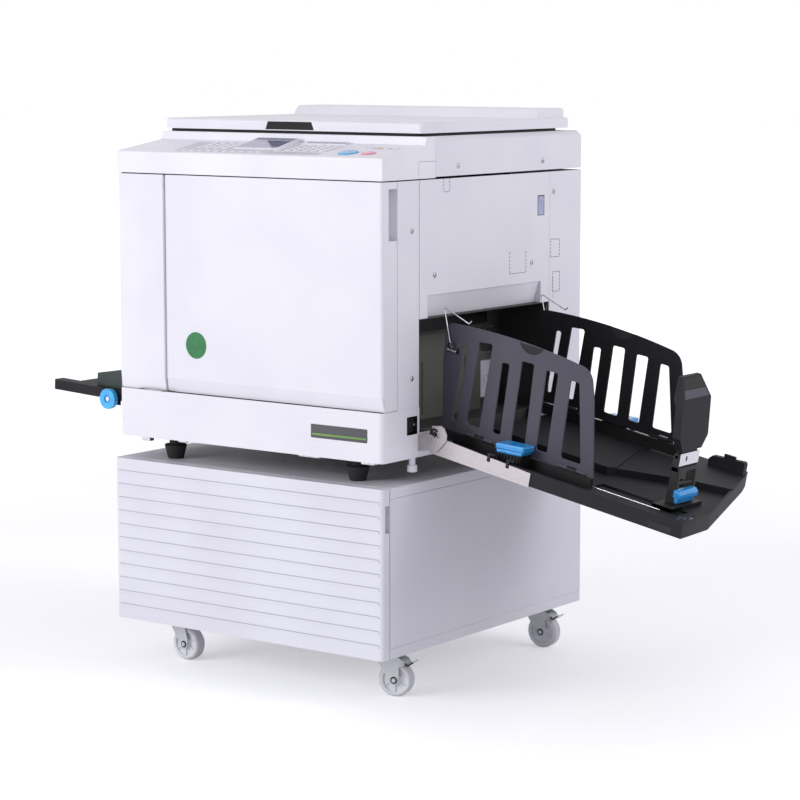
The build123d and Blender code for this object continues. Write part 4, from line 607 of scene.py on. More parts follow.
# painted shade in the gaps over the skirt, under the panel and round the lid: black strips that stay black however the
# light falls
gaps = {
    "hinge": {"base_skirt": [(-266, 538.8), (-250, 540.2), (-205, 539.8), (-197, 539.5), (-197, 536.9),
                             (-205, 536.8), (-250, 537.4)],
              "front_cover": [(-194.5, 539.4), (-171, 538.6), (-171, 538.1), (-194.5, 538.1)]},
    "lens": [(-256, 539.2), (-232, 539.4), (-196, 538.6), (-214, 537.8), (-244, 538.2)],
    "front": -323.42,
    "lidLow": 1022.4, "lidHigh": 1027.8, "lidInset": 5.0, "lidWidth": 4.0, "lidBox": (-312, 303, -186.5, 268),
    "seam": (943.5, 948.3),
}


def buildGaps():
    for carrier, outline in gaps["hinge"].items():
        finishPlate("hingeGap." + carrier, carrier, "shadowLine", outline, "xz", gaps["front"],
                    0.9 if carrier == "base_skirt" else 4.0)
    finishPlate("hingeGapRib", "base_skirt", "whiteAbs", gaps["lens"], "xz", gaps["front"] - 0.05,
                0.6)
    left, right, front, back = gaps["lidBox"]
    near = gaps["lidInset"]
    far = near + gaps["lidWidth"]
    outer = softOutline(rectangle(left + near, right - near, front + near, back), 16.0)
    inner = softOutline(rectangle(left + far, right - far, front + far, back - gaps["lidWidth"]), 12.0)
    finishPlate("lidGapShade", "original_cover", "shadowLine", outer, "xy", gaps["lidLow"],
                gaps["lidHigh"] - gaps["lidLow"], holes=(inner,))
    bm = bmesh.new()
    low, high = gaps["seam"]
    addBlock(bm, (-305, -318, low), (306, -316, high))
    addBlock(bm, (306.5, -276, low), (308.5, -216, high))
    finishPiece(bm, "panelSeam", "control_panel", "shadowLine")


buildGaps()


# the grip moulded into the lid's front, drawn as painted shade: a black plate in its mouth and a dark lip along its
# top
lidGrip = {
    "mouth": [(-61.5, 1029.1), (53.5, 1029.1), (47.5, 1043.9), (-55.5, 1043.9)], "depth": -184.6,
    "bevel": [(-57.5, 1042.0), (49.5, 1042.0), (47.5, 1043.9), (-55.5, 1043.9)],
}


def buildLidGrip():
    finishPlate("lidGrip", "original_cover", "shadowLine", lidGrip["mouth"], "xz", lidGrip["depth"],
                6.0)
    finishPlate("lidGripLip", "original_cover", "footRubber", lidGrip["bevel"], "xz",
                lidGrip["depth"] - 0.6, 0.8, rim=0.2)


buildLidGrip()


# pan-head screws with a cross slot, on the right covers; the slots are painted shade in black, and a grey ring round
# each head is a painted shadow
screws = {"spots": ((-92, 967), (188, 967), (227, 907), (-235, 856), (-165, 773), (152, 775), (-235, 591)),
          "steps": ((313.5, 314.8, 4.2, None), (314.8, 315.6, 4.2, 3.1), (315.6, 315.8, 3.1, 1.8)),
          "slot": (5.2, 1.1), "floor": 315.2, "top": 315.84, "shadow": (313.7, 0.42, 4.2, 5.0)}


def buildScrews():
    bm = bmesh.new()
    marks = bmesh.new()
    for y, z in screws["spots"]:
        for low, high, radius, endRadius in screws["steps"]:
            addBar(bm, (low, y, z), (high, y, z), radius, endRadius, 32)
        long, wide = screws["slot"]
        for high, across in ((long, wide), (wide, long)):
            verts = addBlock(marks, (screws["floor"], -across / 2, -high / 2), (screws["top"], across / 2, high / 2))
            turned = Matrix.Translation((0, y, z)) @ Matrix.Rotation(math.radians(y % 90), 4, "X")
            bmesh.ops.transform(marks, matrix=turned, verts=verts)
    carrier = "cover_screws"
    finishPiece(bm, "coverScrews", carrier, "zincSteel", replaced=("cover_screws",))
    finishPiece(marks, "screwSlots", carrier, "shadowLine")
    bm = bmesh.new()
    start, thickness, inner, outer = screws["shadow"]
    for spot in screws["spots"]:
        addPlate(bm, ringPoints(spot, outer, 32), "yz", start, thickness, holes=(ringPoints(spot, inner, 32),))
    finishPiece(bm, "screwShadows", carrier, "paintedShadeGrey")


buildScrews()


# knock-outs, seams and the small window on the right covers; the dashes round the knock-outs and the label place, and
# the seam lines, are painted shade
sideMarks = {
    "skin": 314.0, "rise": 0.25, "line": 1.1, "seamLine": 0.7, "dash": 6.5, "drawn": (0.12, 0.72),
    "dashed": {
        "topKnockOut": ([(-138, 948), (-138, 925), (-135, 921.5), (-122, 921.5), (-119, 925), (-119, 948)], False),
        "labelPlace": ([(77, 800), (77, 758), (132, 758), (132, 800)], False),
        "upperKnockOut": ([(218, 815), (249, 815), (249, 781), (218, 781)], True),
        "lowerKnockOut": ([(225, 752), (250, 752), (250, 714), (225, 714)], True),
    },
    "seams": (((-215, 952), (-215, 978)), ((-215, 978), (-163, 978)), ((204, 540), (204, 690)),
              ((227, 700), (227, 742))),
    "window": (171.5, 194, 863.5, 902),
}


def addStroke(bm, start, end, width, skin, rise):
    run = Vector(end) - Vector(start)
    side = Vector((-run.y, run.x)).normalized() * (width / 2)
    corners = [Vector(start) + side, Vector(start) - side, Vector(end) - side, Vector(end) + side]
    addPlate(bm, [tuple(c) for c in corners], "yz", skin - 0.2, rise + 0.2)


def buildSideMarks():
    skin = sideMarks["skin"]
    bm = bmesh.new()
    for points, closed in sideMarks["dashed"].values():
        loop = points + [points[0]] if closed else points
        for start, end in zip(loop, loop[1:]):
            run = Vector(end) - Vector(start)
            count = max(1, round(run.length / sideMarks["dash"]))
            for dash in range(count):
                first, last = (Vector(start) + run * ((dash + share) / count) for share in sideMarks["drawn"])
                addStroke(bm, first, last, sideMarks["line"], skin, sideMarks["rise"])
    carrier = "right_side_panel"
    finishPiece(bm, "knockOuts", carrier, "shadowLine")
    bm = bmesh.new()
    for start, end in sideMarks["seams"]:
        addStroke(bm, start, end, sideMarks["seamLine"], skin, 0.1)
    finishPiece(bm, "sideSeams", carrier, "paintedShadeGrey")
    near, far, low, high = sideMarks["window"]
    finishPlate("windowFrame", carrier, "badgeBlack", rectangle(near, far, low, high), "yz", skin - 0.2,
                0.7, holes=(rectangle(near + 1.6, far - 1.2, low + 1.2, high - 2.4),))
    finishBlock("sideWindow", carrier, "windowBlue", (skin - 0.2, near + 1.2, low + 0.8),
                (skin + 0.2, far - 0.8, high - 2.0))


buildSideMarks()


# the control panel's film, keys and displays, in the panel's own frame
panel = {
    "keyRise": 1.2, "sunk": 0.3, "key": (13.0, 8.0), "pitch": (20.0, 15.0),
    "groups": ((-118.0, 73.0, 4, 4), (-74.0, 22.0, 10, 1), (102.0, 73.0, 5, 4)),
    "tiny": (249.0, 90.0, 18.0, (10.0, 6.0)), "orangeKey": 1, "rim": 3.2,
    "films": ([(-180, 11), (-36, 11), (36, 11), (158, 14), (158, 34), (36, 34), (36, 48), (-74, 48), (-76, 108),
               (-200, 108)],
              [(42, 44), (158, 44), (154, 103), (42, 103)], [(214, 82), (284, 82), (284, 98), (214, 98)]),
    "screens": ((-18.0, 100.0, 55.0, 70.0, 1.5, 8.0), (99.0, 98.0, 112.0, 14.0, 1.5, 3.0)),
}


def addKey(bm, x, y, size, corner):
    wide, deep = size[0] / 2, size[1] / 2
    addPlate(bm, softOutline(rectangle(x - wide, x + wide, y - deep, y + deep), corner), "xy", -panel["sunk"],
             panel["keyRise"] + panel["sunk"], rim=0.3)


def buildPanel():
    carrier = "panel_keys"
    bm = bmesh.new()
    orange = bmesh.new()
    for x, along, columns, rows in panel["groups"]:
        for column in range(columns):
            for row in range(rows):
                addKey(bm, x + (column - (columns - 1) / 2) * panel["pitch"][0],
                       along + (row - (rows - 1) / 2) * panel["pitch"][1], panel["key"], 3.4)
    x, along, pitch, size = panel["tiny"]
    for column in range(4):
        addKey(orange if column == panel["orangeKey"] else bm, x + (column - 1.5) * pitch, along, size, 2.4)
    finishPiece(bm, "panelKeys", carrier, "keyWhite", panelPlace, replaced=("panel_keys",))
    finishPiece(orange, "orangeKey", carrier, "keyOrange", panelPlace)
    bm = bmesh.new()
    for film in panel["films"]:
        addPlate(bm, softOutline(film, 3.0), "xy", -0.2, 0.35)
    finishPiece(bm, "keyFilms", carrier, "greyFilm", panelPlace)
    bm = bmesh.new()
    glass = bmesh.new()
    for x, width, near, length, low, high in panel["screens"]:
        slope = (high - low) / length
        left, right = x - width / 2, x + width / 2
        for target, margin, top in ((bm, 0.0, 0.0), (glass, panel["rim"], 0.25)):
            verts = addPlate(target, rectangle(left + margin, right - margin, near + margin / 2,
                                               near + length - margin / 2), "xy", -0.2, 1.0)
            for vert in verts:
                if vert.co.z > 0:
                    vert.co.z = low + slope * (vert.co.y - near) + top
    finishPiece(bm, "displayBezels", "display_screens", "panelAbs", panelPlace, soften=0.3,
                replaced=("display_screens",))
    finishPiece(glass, "displayGlass", "display_screens", "displayGlass", panelPlace)


buildPanel()


# rubber feet under the skirt with their washers, and the tabs of the bottom plate
feet = {"spots": ((-219, -271), (219, -271), (219, 271), (-219, 271)),
        "profile": ((0.0, 402.0), (14.0, 402.0), (15.5, 404.0), (21.0, 426.0), (21.5, 428.0), (20.0, 429.5),
                    (13.0, 430.5), (12.0, 432.0), (12.0, 446.0), (0.0, 446.0)), "washer": 24.0, "skirt": 446.2,
        "tabs": ((-264, -243, -318, -306, 438), (-170, -150, -320, -312, 443), (120, 168, -319, -310, 443),
                 (262, 290, -318, -306, 441.5))}


def buildFeet():
    carrier = "rubber_feet"
    bm = bmesh.new()
    for x, y in feet["spots"]:
        spinProfile(bm, [(x + r, y, z) for r, z in feet["profile"]], (x, y, 0), (0, 0, 1))
    finishPiece(bm, "rubberFeet", carrier, "footRubber", replaced=("rubber_feet",))
    bm = bmesh.new()
    for x, y in feet["spots"]:
        addBar(bm, (x, y, 440), (x, y, 443), feet["washer"])
        addBlock(bm, (x - 44, y - 16, 443), (x + 24, y + 20, feet["skirt"]))
    for left, right, front, back, low in feet["tabs"]:
        addBlock(bm, (left, front, low), (right, back, feet["skirt"]))
    finishPiece(bm, "bottomTabs", "base_skirt", "zincSteel", soften=0.5)
    # dark sheet under the skirt, partly real, as machines have such a plate, and partly painted shade that darkens the
    # gap over the cabinet top
    finishBlock("bottomPlate", "base_skirt", "darkSheet", (-298, -308, 445.2), (298, 316, 446.1))


buildFeet()
print("cover details built")

# the receiving side
dressNode("outlet_chamber", "darkSheet", 0.4)
dressNode("tray_brackets", "cardSteel", 0.3)
dressNode("tray_arms", "cardSteel", 0.3)
dressNode("receiving_tray", "darkAbs", 0.9)
for side, wallAbs in (("front", "guideAbs"), ("rear", "darkAbs")):
    dressNode("guide_wall_" + side, wallAbs, 0.7, side="." + side)
    dressNode("sheet_wire_" + side, "springWire", 0.0, side="." + side)
print("trays dressed")


# a sliding guide: black rail, knuckles and ribbed housing under a blue grip
guides = {
    "front": {"out": -1, "wall": -155.0, "axis": 3.0, "deck": -18.0, "lift": 0.0},
    "rear": {"out": 1, "wall": 152.0, "axis": 22.0, "deck": -3.0, "lift": 10.0},
    "rail": (-14.0, 306.0), "knuckles": (60.0, 262.0), "near": 158.0, "far": 195.0,
    "capLower": [(124.5, 0.6), (176.5, 6.4), (179.0, 13.5), (122.5, 7.5)],
    "capUpper": [(121.0, 7.4), (181.0, 13.4), (181.0, 22.6), (177.5, 24.6), (124.0, 18.3), (121.0, 16.2)],
    "teeth": (128.5, 6.8, 3.0, 7), "thumb": (138.0, 210.0, 28.6), "thumbLow": math.radians(-29),
    "coil": (-38.0, -14.0, 145.0, 3.4), "turns": 7,
}


def spanY(out, near, far):
    return sorted((out * near, out * far))


def buildGuide(side):
    look = guides[side]
    out, wall, axis = look["out"], look["wall"], look["axis"]
    bottom, top = look["deck"] + 0.3, look["axis"] - 4.0
    carrier = "guide_base_" + side
    bm = bmesh.new()
    addBlock(bm, (guides["rail"][0], wall - 4, bottom), (guides["rail"][1], wall + 4, top))
    for middle in guides["knuckles"]:
        addBlock(bm, (middle - 10, wall - 4, top - 0.5), (middle + 10, wall + 4, axis))
        addBar(bm, (middle - 10, wall, axis), (middle + 10, wall, axis), 4.0)
        addBar(bm, (middle - 30, wall, axis), (middle + 30, wall, axis), 2.0, None, 24)
    low, high = spanY(out, guides["near"] - 2, guides["far"] - 3)
    lip = max(1.0, bottom + 3)
    addPlate(bm, [(127, bottom), (176, bottom), (176, 7), (127, lip)], "xz", low, high - low, rim=0.6)
    linkLow, linkHigh = sorted((wall, out * 160))
    addBlock(bm, (127, linkLow, bottom), (176, linkHigh, top))
    first, pitch, wide, count = guides["teeth"]
    face = spanY(out, guides["far"] - 3.2, guides["far"] - 0.6)
    for tooth in range(count):
        left = first + tooth * pitch
        addBlock(bm, (left, face[0], bottom + 0.6), (left + wide, face[1], lip - 1.5 + tooth))
    lift = look["lift"]
    if lift:
        face = spanY(out, guides["far"] - 12, guides["far"] - 4)
        for left, right in ((122.5, 127.5), (172.0, 178.5)):
            addBlock(bm, (left, face[0], lip - 3), (right, face[1], lift + 10))
    finishPiece(bm, "guideBase." + side, carrier, "blackNylon", trayPlace, replaced=("guide_base_" + side,))
    bm = bmesh.new()
    low, high = spanY(out, guides["near"] + 0.4, guides["far"] - 1.8)
    addPlate(bm, [(p, q + lift) for p, q in guides["capLower"]], "xz", low, high - low, rim=1.2)
    low, high = spanY(out, guides["near"], guides["far"])
    addPlate(bm, [(p, q + lift) for p, q in guides["capUpper"]], "xz", low, high - low, rim=1.6)
    finishPiece(bm, "guideGrip." + side, carrier, "gripBlue", trayPlace, soften=0.9)

    wallBody = "guide_wall_" + side
    # painted shade: the thumb recess is drawn as a dark plate on both faces of the wall; its flat top follows the
    # wall's edge
    u, w, radius = guides["thumb"]
    start = guides["thumbLow"]
    bowl = ringPoints((u, w), radius, 24, start, -math.pi - 2 * start)
    bm = bmesh.new()
    for face, thick in ((wall + out * 0.25, out * 0.4), (wall - out * 1.75, -out * 0.3)):
        addPlate(bm, bowl, "xz", min(face, face + thick), abs(thick))
    finishPiece(bm, "guideThumbShade." + side, wallBody, "footRubber", trayPlace)
    left, right, height, radius = guides["coil"]
    y = wall + out * (1.75 + radius + 0.4)
    bm = bmesh.new()
    for turn in range(guides["turns"]):
        at = left + 2.5 + turn * (right - left - 5) / (guides["turns"] - 1)
        addBar(bm, (at - 0.9, y, height), (at + 0.9, y, height), radius, None, 24)
    finishPiece(bm, "wireCoil." + side, wallBody, "springWire", trayPlace, soften=0.4)
    bm = bmesh.new()
    addBar(bm, (left, y, height), (right, y, height), radius - 1.0, None, 24)
    y = wall + out * 1.7
    for at, rise in ((left + 1, 12), (right - 1, 6)):
        addBlock(bm, (at - 2, y - 1.2, height - 5), (at + 2, y + 1.2, height + rise))
    finishPiece(bm, "wireClamp." + side, wallBody, "blackNylon", trayPlace, soften=0.4)


for side in ("front", "rear"):
    buildGuide(side)


# the hinge of the tray: rivet plate and bush on each bracket, nylon tabs through the arm's slots
pivot = {"rivet": (343.4, 479.6), "bush": (350.0, 492.5), "face": -216.6, "slots": (124.0, 165.0), "arm": -214.0}


def buildPivot():
    bm = bmesh.new()
    black = bmesh.new()
    x, z = pivot["rivet"]
    for out in (-1, 1):
        face = -out * pivot["face"]
        addPlate(bm, ringPoints((x, z), 9.6, 48), "xz", min(face, face + out * 0.9), 0.9,
                 holes=(ringPoints((x, z), 7.2, 48),))
        for rise, radius, endRadius, segments in ((1.2, 3.6, 3.0, 32), (2.0, 1.9, 1.5, 24)):
            addBar(bm, (x, face - out * 0.2, z), (x, face + out * rise, z), radius, endRadius, segments)
        outer, inner = (ringPoints(pivot["bush"], radius, 24, math.radians(25), math.radians(170))
                        for radius in (9.5, 5.6))
        addPlate(black, outer + inner[::-1], "xz", min(face, face + out * 1.4), 1.4, rim=0.3)
        addBar(black, (349, face - out * 2.6, 489.5), (349, face + out * 0.5, 489.5), 5.4, None, 32)
    finishPiece(bm, "hingeRivets", "tray_brackets", "cardSteel")
    finishPiece(black, "hingeBushes", "tray_brackets", "blackNylon", soften=0.2)
    bm = bmesh.new()
    for u in pivot["slots"]:
        addPlate(bm, [(u - 2.6, -12.5), (u + 2.2, -12.5), (u + 3.4, -10), (u + 3.2, 0.5), (u - 3.2, 0.5),
                      (u - 3.0, -10)], "xz", pivot["arm"] - 1.2, 5.2, rim=0.5)
        addBlock(bm, (u - 3.2, pivot["arm"] - 1.2, -1.5), (u + 12, pivot["arm"] + 6, 0.5))
    addBlock(bm, (118, -211.4, -19), (182, -199, -16.8))
    finishPiece(bm, "armTabs", "receiving_tray", "blackNylon", trayPlace, soften=0.4)


buildPivot()


# small things on the tray: the bright rail beside the channel, scale marks and the edge recess
trayTrim = {
    "rail": ((305, -145.4, -17.5), (443, -145.4, -17.5), 0.9),
    "marks": ((486, -146, 7), (492, -139, 5), (496, -150, 4), (499, -132, 6), (503, -143, 4), (506, -126, 5),
              (488, -158, 5)),
    "recess": ((462, -212.25, -31), (508, -211.5, -20.5)), "recessEdge": 0.9,
}


def buildTrayTrim():
    carrier = "receiving_tray"
    bm = bmesh.new()
    start, end, radius = trayTrim["rail"]
    addBar(bm, start, end, radius, None, 16)
    for u, y, long in trayTrim["marks"]:
        addBlock(bm, (u - long / 2, y - 1.1, -18.2), (u + long / 2, y + 1.1, -17.6))
    finishPiece(bm, "railAndMarks", carrier, "chromeRail", trayPlace)
    low, high = trayTrim["recess"]
    edge = trayTrim["recessEdge"]
    finishBlock("edgeRecess", carrier, "footRubber", low, high, trayPlace)
    bm = bmesh.new()
    addBlock(bm, (low[0] - edge, low[1] - 0.15, high[2]), (high[0] + edge, high[1], high[2] + edge))
    addBlock(bm, (low[0] - edge, low[1] - 0.15, low[2] - edge), (high[0] + edge, high[1], low[2]))
    finishPiece(bm, "trayEdges", carrier, "darkAbs", trayPlace, soften=0.3)


buildTrayTrim()


# the end stopper: upright post, hood with its finger field, pale side strip and label plates, blue grip
stopper = {
    "y": -78.0, "legs": (431.0, 449.0), "half": 33.0, "post": 8.0, "axisU": 438.0, "axisW": 72.0, "ear": 7.0,
    "foot": (425.0, 465.0), "channel": (-143.7, -106.3), "footEnd": -40.0, "deck": -17.7, "footTop": -9.7,
    "bridge": (46.0, 54.0), "stem": 6.0, "hoodLow": 84.0,
    "rows": ((84.0, 434.0, 447.0, 33.0), (107.0, 431.0, 447.0, 48.0), (160.0, 426.0, 441.0, 48.0),
             (174.0, 419.5, 439.5, 47.5), (211.0, 412.0, 420.0, 32.0)),
    "field": (176.5, 191.5, 208.0), "fieldSide": 5.0,
    "label": (57.0, 79.0), "labelHole": (8.0, 14.0, 64.0, 73.0), "labelFront": 445.0,
    "gripY": (-119.0, -55.0), "gripTeeth": 6,
    "strip": (96.0, 158.0, 427.5, 437.5),
}


# the hood's inner and outer face and half its width at a height, then a shell through such rows
def hoodAt(w):
    for first, last in zip(stopper["rows"], stopper["rows"][1:]):
        if w <= last[0]:
            share = (w - first[0]) / (last[0] - first[0])
            return [a + share * (b - a) for a, b in zip(first, last)]


def hoodShell(bm, rows, y):
    rings = [[bm.verts.new(c) for c in ((inner, y - wide, w), (outer, y - wide, w), (outer, y + wide, w),
                                        (inner, y + wide, w))] for w, inner, outer, wide in rows]
    for below, above in zip(rings, rings[1:]):
        for k in range(4):
            bm.faces.new((below[k], below[(k + 1) % 4], above[(k + 1) % 4], above[k]))
    bm.faces.new(list(reversed(rings[0])))
    bm.faces.new(rings[-1])


def buildStopperPost():
    y, half, post = stopper["y"], stopper["half"], stopper["post"]
    inner, outer = stopper["legs"]
    axisU, axisW, ear = stopper["axisU"], stopper["axisW"], stopper["ear"]
    deck, footTop = stopper["deck"], stopper["footTop"]
    carrier = "stopper_post"
    bm = bmesh.new()
    near, far = stopper["channel"]
    addBlock(bm, (stopper["foot"][0], near, deck - 4), (stopper["foot"][1], far, footTop - 0.3))
    addBlock(bm, (stopper["foot"][0], near, deck), (stopper["foot"][1], stopper["footEnd"], footTop))
    for low in (y - half, y + half - post):
        leg = [(inner, deck), (outer, deck), (outer - 0.5, 40), (axisU + ear, 56), (axisU + ear, axisW)]
        leg += [*ringPoints((axisU, axisW), ear, 12, 0.0, math.pi)[1:], (inner, 56)]
        addPlate(bm, leg, "xz", low, post, rim=1.0)
    addBlock(bm, (inner + 1, y - half, stopper["bridge"][0]), (outer - 1, y + half, stopper["bridge"][1]))
    addBlock(bm, (inner + 2, y - 12, 0), (inner + 6, y - 6, 48))
    addBlock(bm, (outer - 6, y - half + 2, 22), (outer - 2, y + half - 2, 27))
    left, right = stopper["gripY"]
    addBlock(bm, (outer - 7, left + 2, -6), (outer + 2, right - 2, 14))
    pitch = (right - left - 12) / stopper["gripTeeth"]
    for tooth in range(stopper["gripTeeth"]):
        at = left + 6 + tooth * pitch
        addPlate(bm, [(outer - 1, deck), (outer + 9 - (tooth % 2) * 3, deck), (outer + 9, -7), (outer - 1, -7)],
                 "xz", at, pitch * 0.55, rim=0.5)
    finishPiece(bm, "stopperPost", carrier, "blackNylon", trayPlace, soften=0.4, replaced=("stopper_post",))
    bm = bmesh.new()
    addPlate(bm, [(outer - 1, -7), (outer + 9, -7), (outer + 11, 3), (outer - 1, 3)], "xz", left + 3, right - left - 6,
             rim=1.4)
    addPlate(bm, [(outer - 1, 2), (outer + 14, 2), (outer + 14, 11), (outer + 9, 15.4), (outer - 1, 16)],
             "xz", left, right - left, rim=1.8)
    finishPiece(bm, "stopperGrip", carrier, "gripBlue", trayPlace, soften=1.0)
    low, high = stopper["label"]
    first, last, holeLow, holeHigh = stopper["labelHole"]
    front = stopper["labelFront"]
    finishPlate("stopperLabel", carrier, "whiteAbs", rectangle(y - half + 1, y + half - 1, low, high),
                "yz", front - 0.2, 1.4, trayPlace, (rectangle(y - first, y - last, holeLow, holeHigh),), 0.2)
    # painted shade: a black sheet behind the label plate, seen through its hole and below it
    bm = bmesh.new()
    wide = half - post + 1
    for bottom, top in ((low + 0.5, high - 0.5), (stopper["bridge"][1] - 2, low + 2)):
        addBlock(bm, (front - 1.2, y - wide, bottom), (front, y + wide, top))
    finishPiece(bm, "stopperLabelShade", carrier, "shadowLine", trayPlace)


def buildStopperHood():
    y, half, post = stopper["y"], stopper["half"], stopper["post"]
    axisU, axisW, stem = stopper["axisU"], stopper["axisW"], stopper["stem"]
    hood = "stopper_hood"
    bm = bmesh.new()
    hoodShell(bm, stopper["rows"], y)
    inside = half - post - 0.3
    addBlock(bm, (axisU - stem, y - inside, axisW), (axisU + stem, y + inside, stopper["hoodLow"] + stem))
    addBar(bm, (axisU, y - inside, axisW), (axisU, y + inside, axisW), stem)
    addBar(bm, (axisU, y - half, axisW), (axisU, y + half, axisW), 3.0, None, 24)
    finishPiece(bm, "stopperHood", hood, "darkAbs", trayPlace, soften=1.0, replaced=("stopper_hood",))
    # the finger field: two grey steps framed by a dark rim, on the slope near the top
    low, middle, high = stopper["field"]
    for name, start, end, material in (("hoodFieldLow", low, middle - 1.5, "guideAbs"),
                                       ("hoodFieldHigh", middle, high, "footRubber")):
        bm = bmesh.new()
        rows = []
        for w in (start, end):
            inner, outer, wide = hoodAt(w)[1:]
            rows.append((w, inner + 1.5, outer + 0.25, wide - stopper["fieldSide"]))
        hoodShell(bm, rows, y)
        finishPiece(bm, name, hood, material, trayPlace)
    low, high, inner, outer = stopper["strip"]
    side = y - hoodAt(low)[3]
    finishPlate("stopperShield", hood, "whiteAbs",
                [(inner + 3.5, low), (outer + 3.5, low + 6), (outer, high), (inner, high)], "xz", side - 0.3, 0.9,
                trayPlace)


buildStopperPost()
buildStopperHood()


# inside the outlet: the pressed guide plate under the slot, a pale plate with two rings, a bright strip
outlet = {
    "wedge": [(202, 490), (218, 490), (218, 604), (202.5, 646)], "wedgeY": (-206, 122),
    "plate": (132, 190, 508, 580), "rings": ((18, 1.1), (10, 1.7)), "strip": (138, 204, 581, 597), "skin": 202.0,
    "hooks": ((150, 640), (176, 644), (120, 632), (64, 612)),
}


def buildOutlet():
    carrier = "outlet_chamber"
    bm = bmesh.new()
    low, high = outlet["wedgeY"]
    addPlate(bm, outlet["wedge"], "xz", low, high - low, rim=0.5)
    for rib in (-140, -70, 0, 70):
        addBlock(bm, (217.8, rib - 2, 500), (219.4, rib + 2, 598))
    finishPiece(bm, "exitPlate", carrier, "exitSheet")
    near, far, low, high = outlet["plate"]
    bm = bmesh.new()
    addPlate(bm, softOutline(rectangle(near, far, low, high), 3.0), "yz", outlet["skin"], 2.0, rim=0.4)
    middle = ((near + far) / 2, (low + high) / 2)
    for radius, rise in outlet["rings"]:
        addPlate(bm, ringPoints(middle, radius, 32), "yz", outlet["skin"] + 1.5, rise,
                 holes=(ringPoints(middle, radius - 4, 32),), rim=0.3)
    finishPiece(bm, "palePlate", carrier, "greyFilm")
    near, far, low, high = outlet["strip"]
    bm = bmesh.new()
    for deep, top in ((6, low + 1.5), (1.5, high)):
        addBlock(bm, (outlet["skin"], near, low), (outlet["skin"] + deep, far, top))
    for y, z in outlet["hooks"]:
        addBar(bm, (outlet["skin"], y, z), (outlet["skin"] + 5, y, z), 3.0, 2.4, 24)
    addBlock(bm, (230, -150, 690), (250, 150, 694.2))
    finishPiece(bm, "outletStrip", carrier, "zincSteel", soften=0.3)


buildOutlet()


# the power switch sits in a black well
switchWell = {"x": (298.1, 313.6), "y": (-250, -218), "z": (489, 522), "skin": 0.7}


def buildSwitchWell():
    (left, right), (near, far), (low, high) = switchWell["x"], switchWell["y"], switchWell["z"]
    skin = switchWell["skin"]
    bm = bmesh.new()
    addBlock(bm, (left, near, low), (left + skin, far, high))
    for a, b in (((left, near, low), (right, near + skin, high)), ((left, far - skin, low), (right, far, high)),
                 ((left, near, low), (right, far, low + skin)), ((left, near, high - skin), (right, far, high))):
        addBlock(bm, a, b)
    finishPiece(bm, "switchWell", "base_skirt", "blackNylon")


buildSwitchWell()
print("receiving side built")

# the feeding side
for side in ("front", "rear"):
    dressNode("feed_guide_" + side, "greenBlackAbs", 0.6, side="." + side)
dressNode("feed_elevator", "darkSheet", 0.6)
dressNode("feed_tray", "darkAbs", 0.9)


# the knurled dial: blue rim, sunk ring and a white hub
dial = {"at": (129.0, -13.5), "face": 155.3, "radius": 20.5, "thickness": 11.0, "grips": 18, "ring": 8.0, "hub": 4.6}


def buildDial():
    u, w = dial["at"]
    near, far = dial["face"], dial["face"] + dial["thickness"]
    carrier = "position_dial"
    outer = []
    for step in range(dial["grips"] * 4):
        angle = 2 * math.pi * step / (dial["grips"] * 4)
        radius = dial["radius"] - (0.7 if step % 4 == 0 else 0.0)
        outer.append((u + radius * math.cos(angle), w + radius * math.sin(angle)))
    bm = bmesh.new()
    addPlate(bm, outer, "xz", near, far - near, holes=(ringPoints((u, w), dial["ring"], 48),), rim=0.7)
    addBar(bm, (u, 144.0, w), (u, near + 2, w), 3.5, None, 32)
    addBar(bm, (u, 150.4, w), (u, near + 0.5, w), 12.0, None, 48)
    addPlate(bm, ringPoints((u, w), dial["ring"] + 0.4, 48), "xz", near, far - near - 3.5)
    finishPiece(bm, "positionDial", carrier, "dialBlue", feedPlace, replaced=("position_dial",))
    finishPlate("dialHub", carrier, "whiteAbs", ringPoints((u, w), dial["hub"], 48), "xz", far - 4.5,
                3.7, feedPlace, rim=0.4)


buildDial()
print("feeding side built")

# inside, seen when the covers are open
# the frame plates get the darkened zinc, painted shade for the inside of the slot
for node, material in (("platen_glass", "platenGlass"), ("scan_carriage", "blackNylon"), ("frame_plates", "dullZinc"),
                       ("print_drum", "drumScreen"), ("ink_cartridge", "cartridgeHdpe"),
                       ("pressure_roller", "rollerRubber"), ("feed_roller", "rollerRubber")):
    repaint(node, material)
print("inner parts painted")


# studio: a pale floor, soft lamps and the camera
def pictureRays(tree):
    path = addNode(tree, "ShaderNodeLightPath")
    seen = addMath(tree, "MAXIMUM", path.outputs["Is Camera Ray"], path.outputs["Is Glossy Ray"])
    return addMath(tree, "MAXIMUM", seen, path.outputs["Is Transmission Ray"])


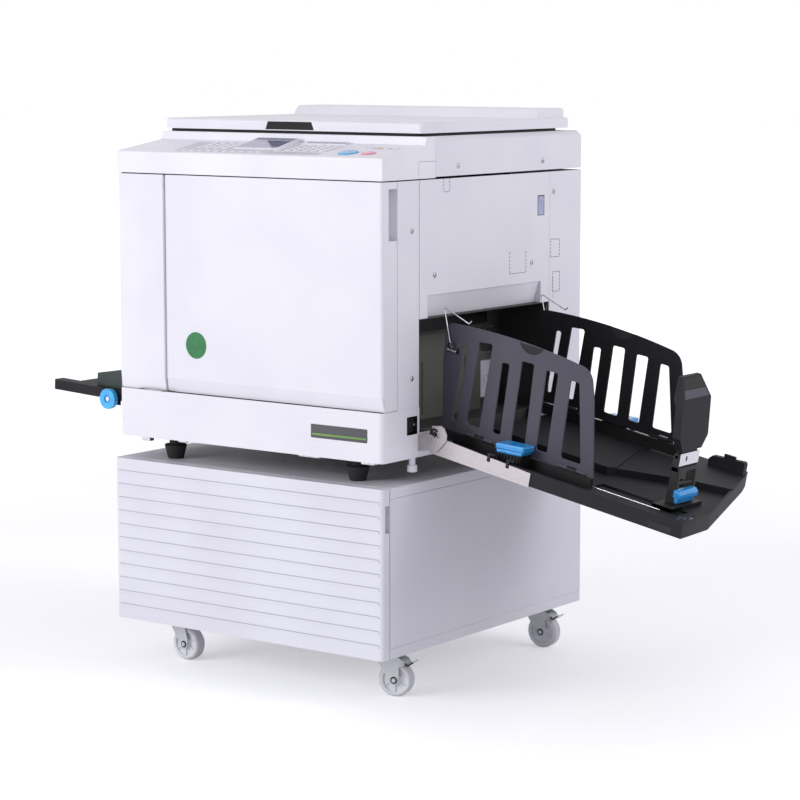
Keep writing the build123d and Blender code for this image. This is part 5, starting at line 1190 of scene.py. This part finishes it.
def softStudio(look):
    material, tree, where = newMaterial("pale studio floor")
    cloudy = addNoise(tree, where, look["cloudMm"], 1.0)
    shader = addNode(tree, "ShaderNodeBsdfPrincipled", {"Roughness": 0.9, "Specular IOR Level": 0.2},
                     {"Base Color": paintedRamp(tree, cloudy, 0.3, 0.7, look)})
    away = addNode(tree, "ShaderNodeVectorMath", {"operation": "LENGTH"}, {0: where})
    lift = addNode(tree, "ShaderNodeMapRange", {"From Min": 1.5, "From Max": look["farFloor"],
                                                "To Min": look["nearLift"], "To Max": look["farLift"]},
                   {"Value": away.outputs["Value"]})
    shown = addMath(tree, "MULTIPLY", pictureRays(tree), lift.outputs["Result"])
    glow = addNode(tree, "ShaderNodeEmission", {"Color": (1, 1, 1, 1)}, {"Strength": shown})
    lifted = addNode(tree, "ShaderNodeAddShader", links={0: shader.outputs["BSDF"], 1: glow.outputs["Emission"]})
    addNode(tree, "ShaderNodeOutputMaterial", links={"Surface": lifted.outputs["Shader"]})
    bm = bmesh.new()
    bmesh.ops.create_grid(bm, x_segments=1, y_segments=1, size=look["floorSize"])
    mesh = bpy.data.meshes.new("studioFloor")
    bm.to_mesh(mesh)
    bm.free()
    floor = bpy.data.objects.new("studioFloor", mesh)
    floor.data.materials.append(material)
    scene.collection.objects.link(floor)

    world = bpy.data.worlds.new("studio")
    scene.world = world
    world.use_nodes = True
    tree = world.node_tree
    tree.nodes.clear()
    room = addNode(tree, "ShaderNodeBackground", {"Color": linearColour(look["roomColour"]),
                                                  "Strength": look["roomStrength"]})
    white = addNode(tree, "ShaderNodeBackground", {"Color": (1, 1, 1, 1), "Strength": 1.0})
    mixed = addNode(tree, "ShaderNodeMixShader", links={0: pictureRays(tree), 1: room.outputs["Background"],
                                                        2: white.outputs["Background"]})
    addNode(tree, "ShaderNodeOutputWorld", links={"Surface": mixed.outputs["Shader"]})

    for name, lamp in look["lamps"].items():
        data = bpy.data.lights.new(name, "AREA")
        data.shape = "RECTANGLE"
        data.size, data.size_y = lamp["size"]
        data.energy = lamp["power"]
        light = bpy.data.objects.new(name, data)
        light.location = lamp["place"]
        aim = Vector(look["target"]) - Vector(lamp["place"])
        light.rotation_euler = aim.to_track_quat("-Z", "Y").to_euler()
        scene.collection.objects.link(light)


softStudio({
    "colour": "#F4F4F6", "shade": "#EEEEF1", "cloudMm": 1250.0, "floorSize": 30.0, "nearLift": 0.34, "farLift": 0.7,
    "farFloor": 6.0, "roomColour": "#EDEDF6", "roomStrength": 0.62, "target": (0.05, 0.0, 0.6),
    "lamps": {
        "keyLamp": {"place": (-2.4, -5.4, 2.3), "size": (2.8, 2.8), "power": 165},
        "rimLamp": {"place": (3.6, 1.0, 2.4), "size": (1.6, 2.4), "power": 40},
    },
})

lens = bpy.data.cameras.new("studioCamera")
lens.lens = 115.91
lens.sensor_width = 36
camera = bpy.data.objects.new("studioCamera", lens)
camera.location = (3.0171, -3.9430, 1.1696)
camera.rotation_euler = (math.pi / 2 - 0.1337, 0, 0.6346)
scene.collection.objects.link(camera)
scene.camera = camera
scene.view_settings.view_transform = "Standard"
print("studio ready")
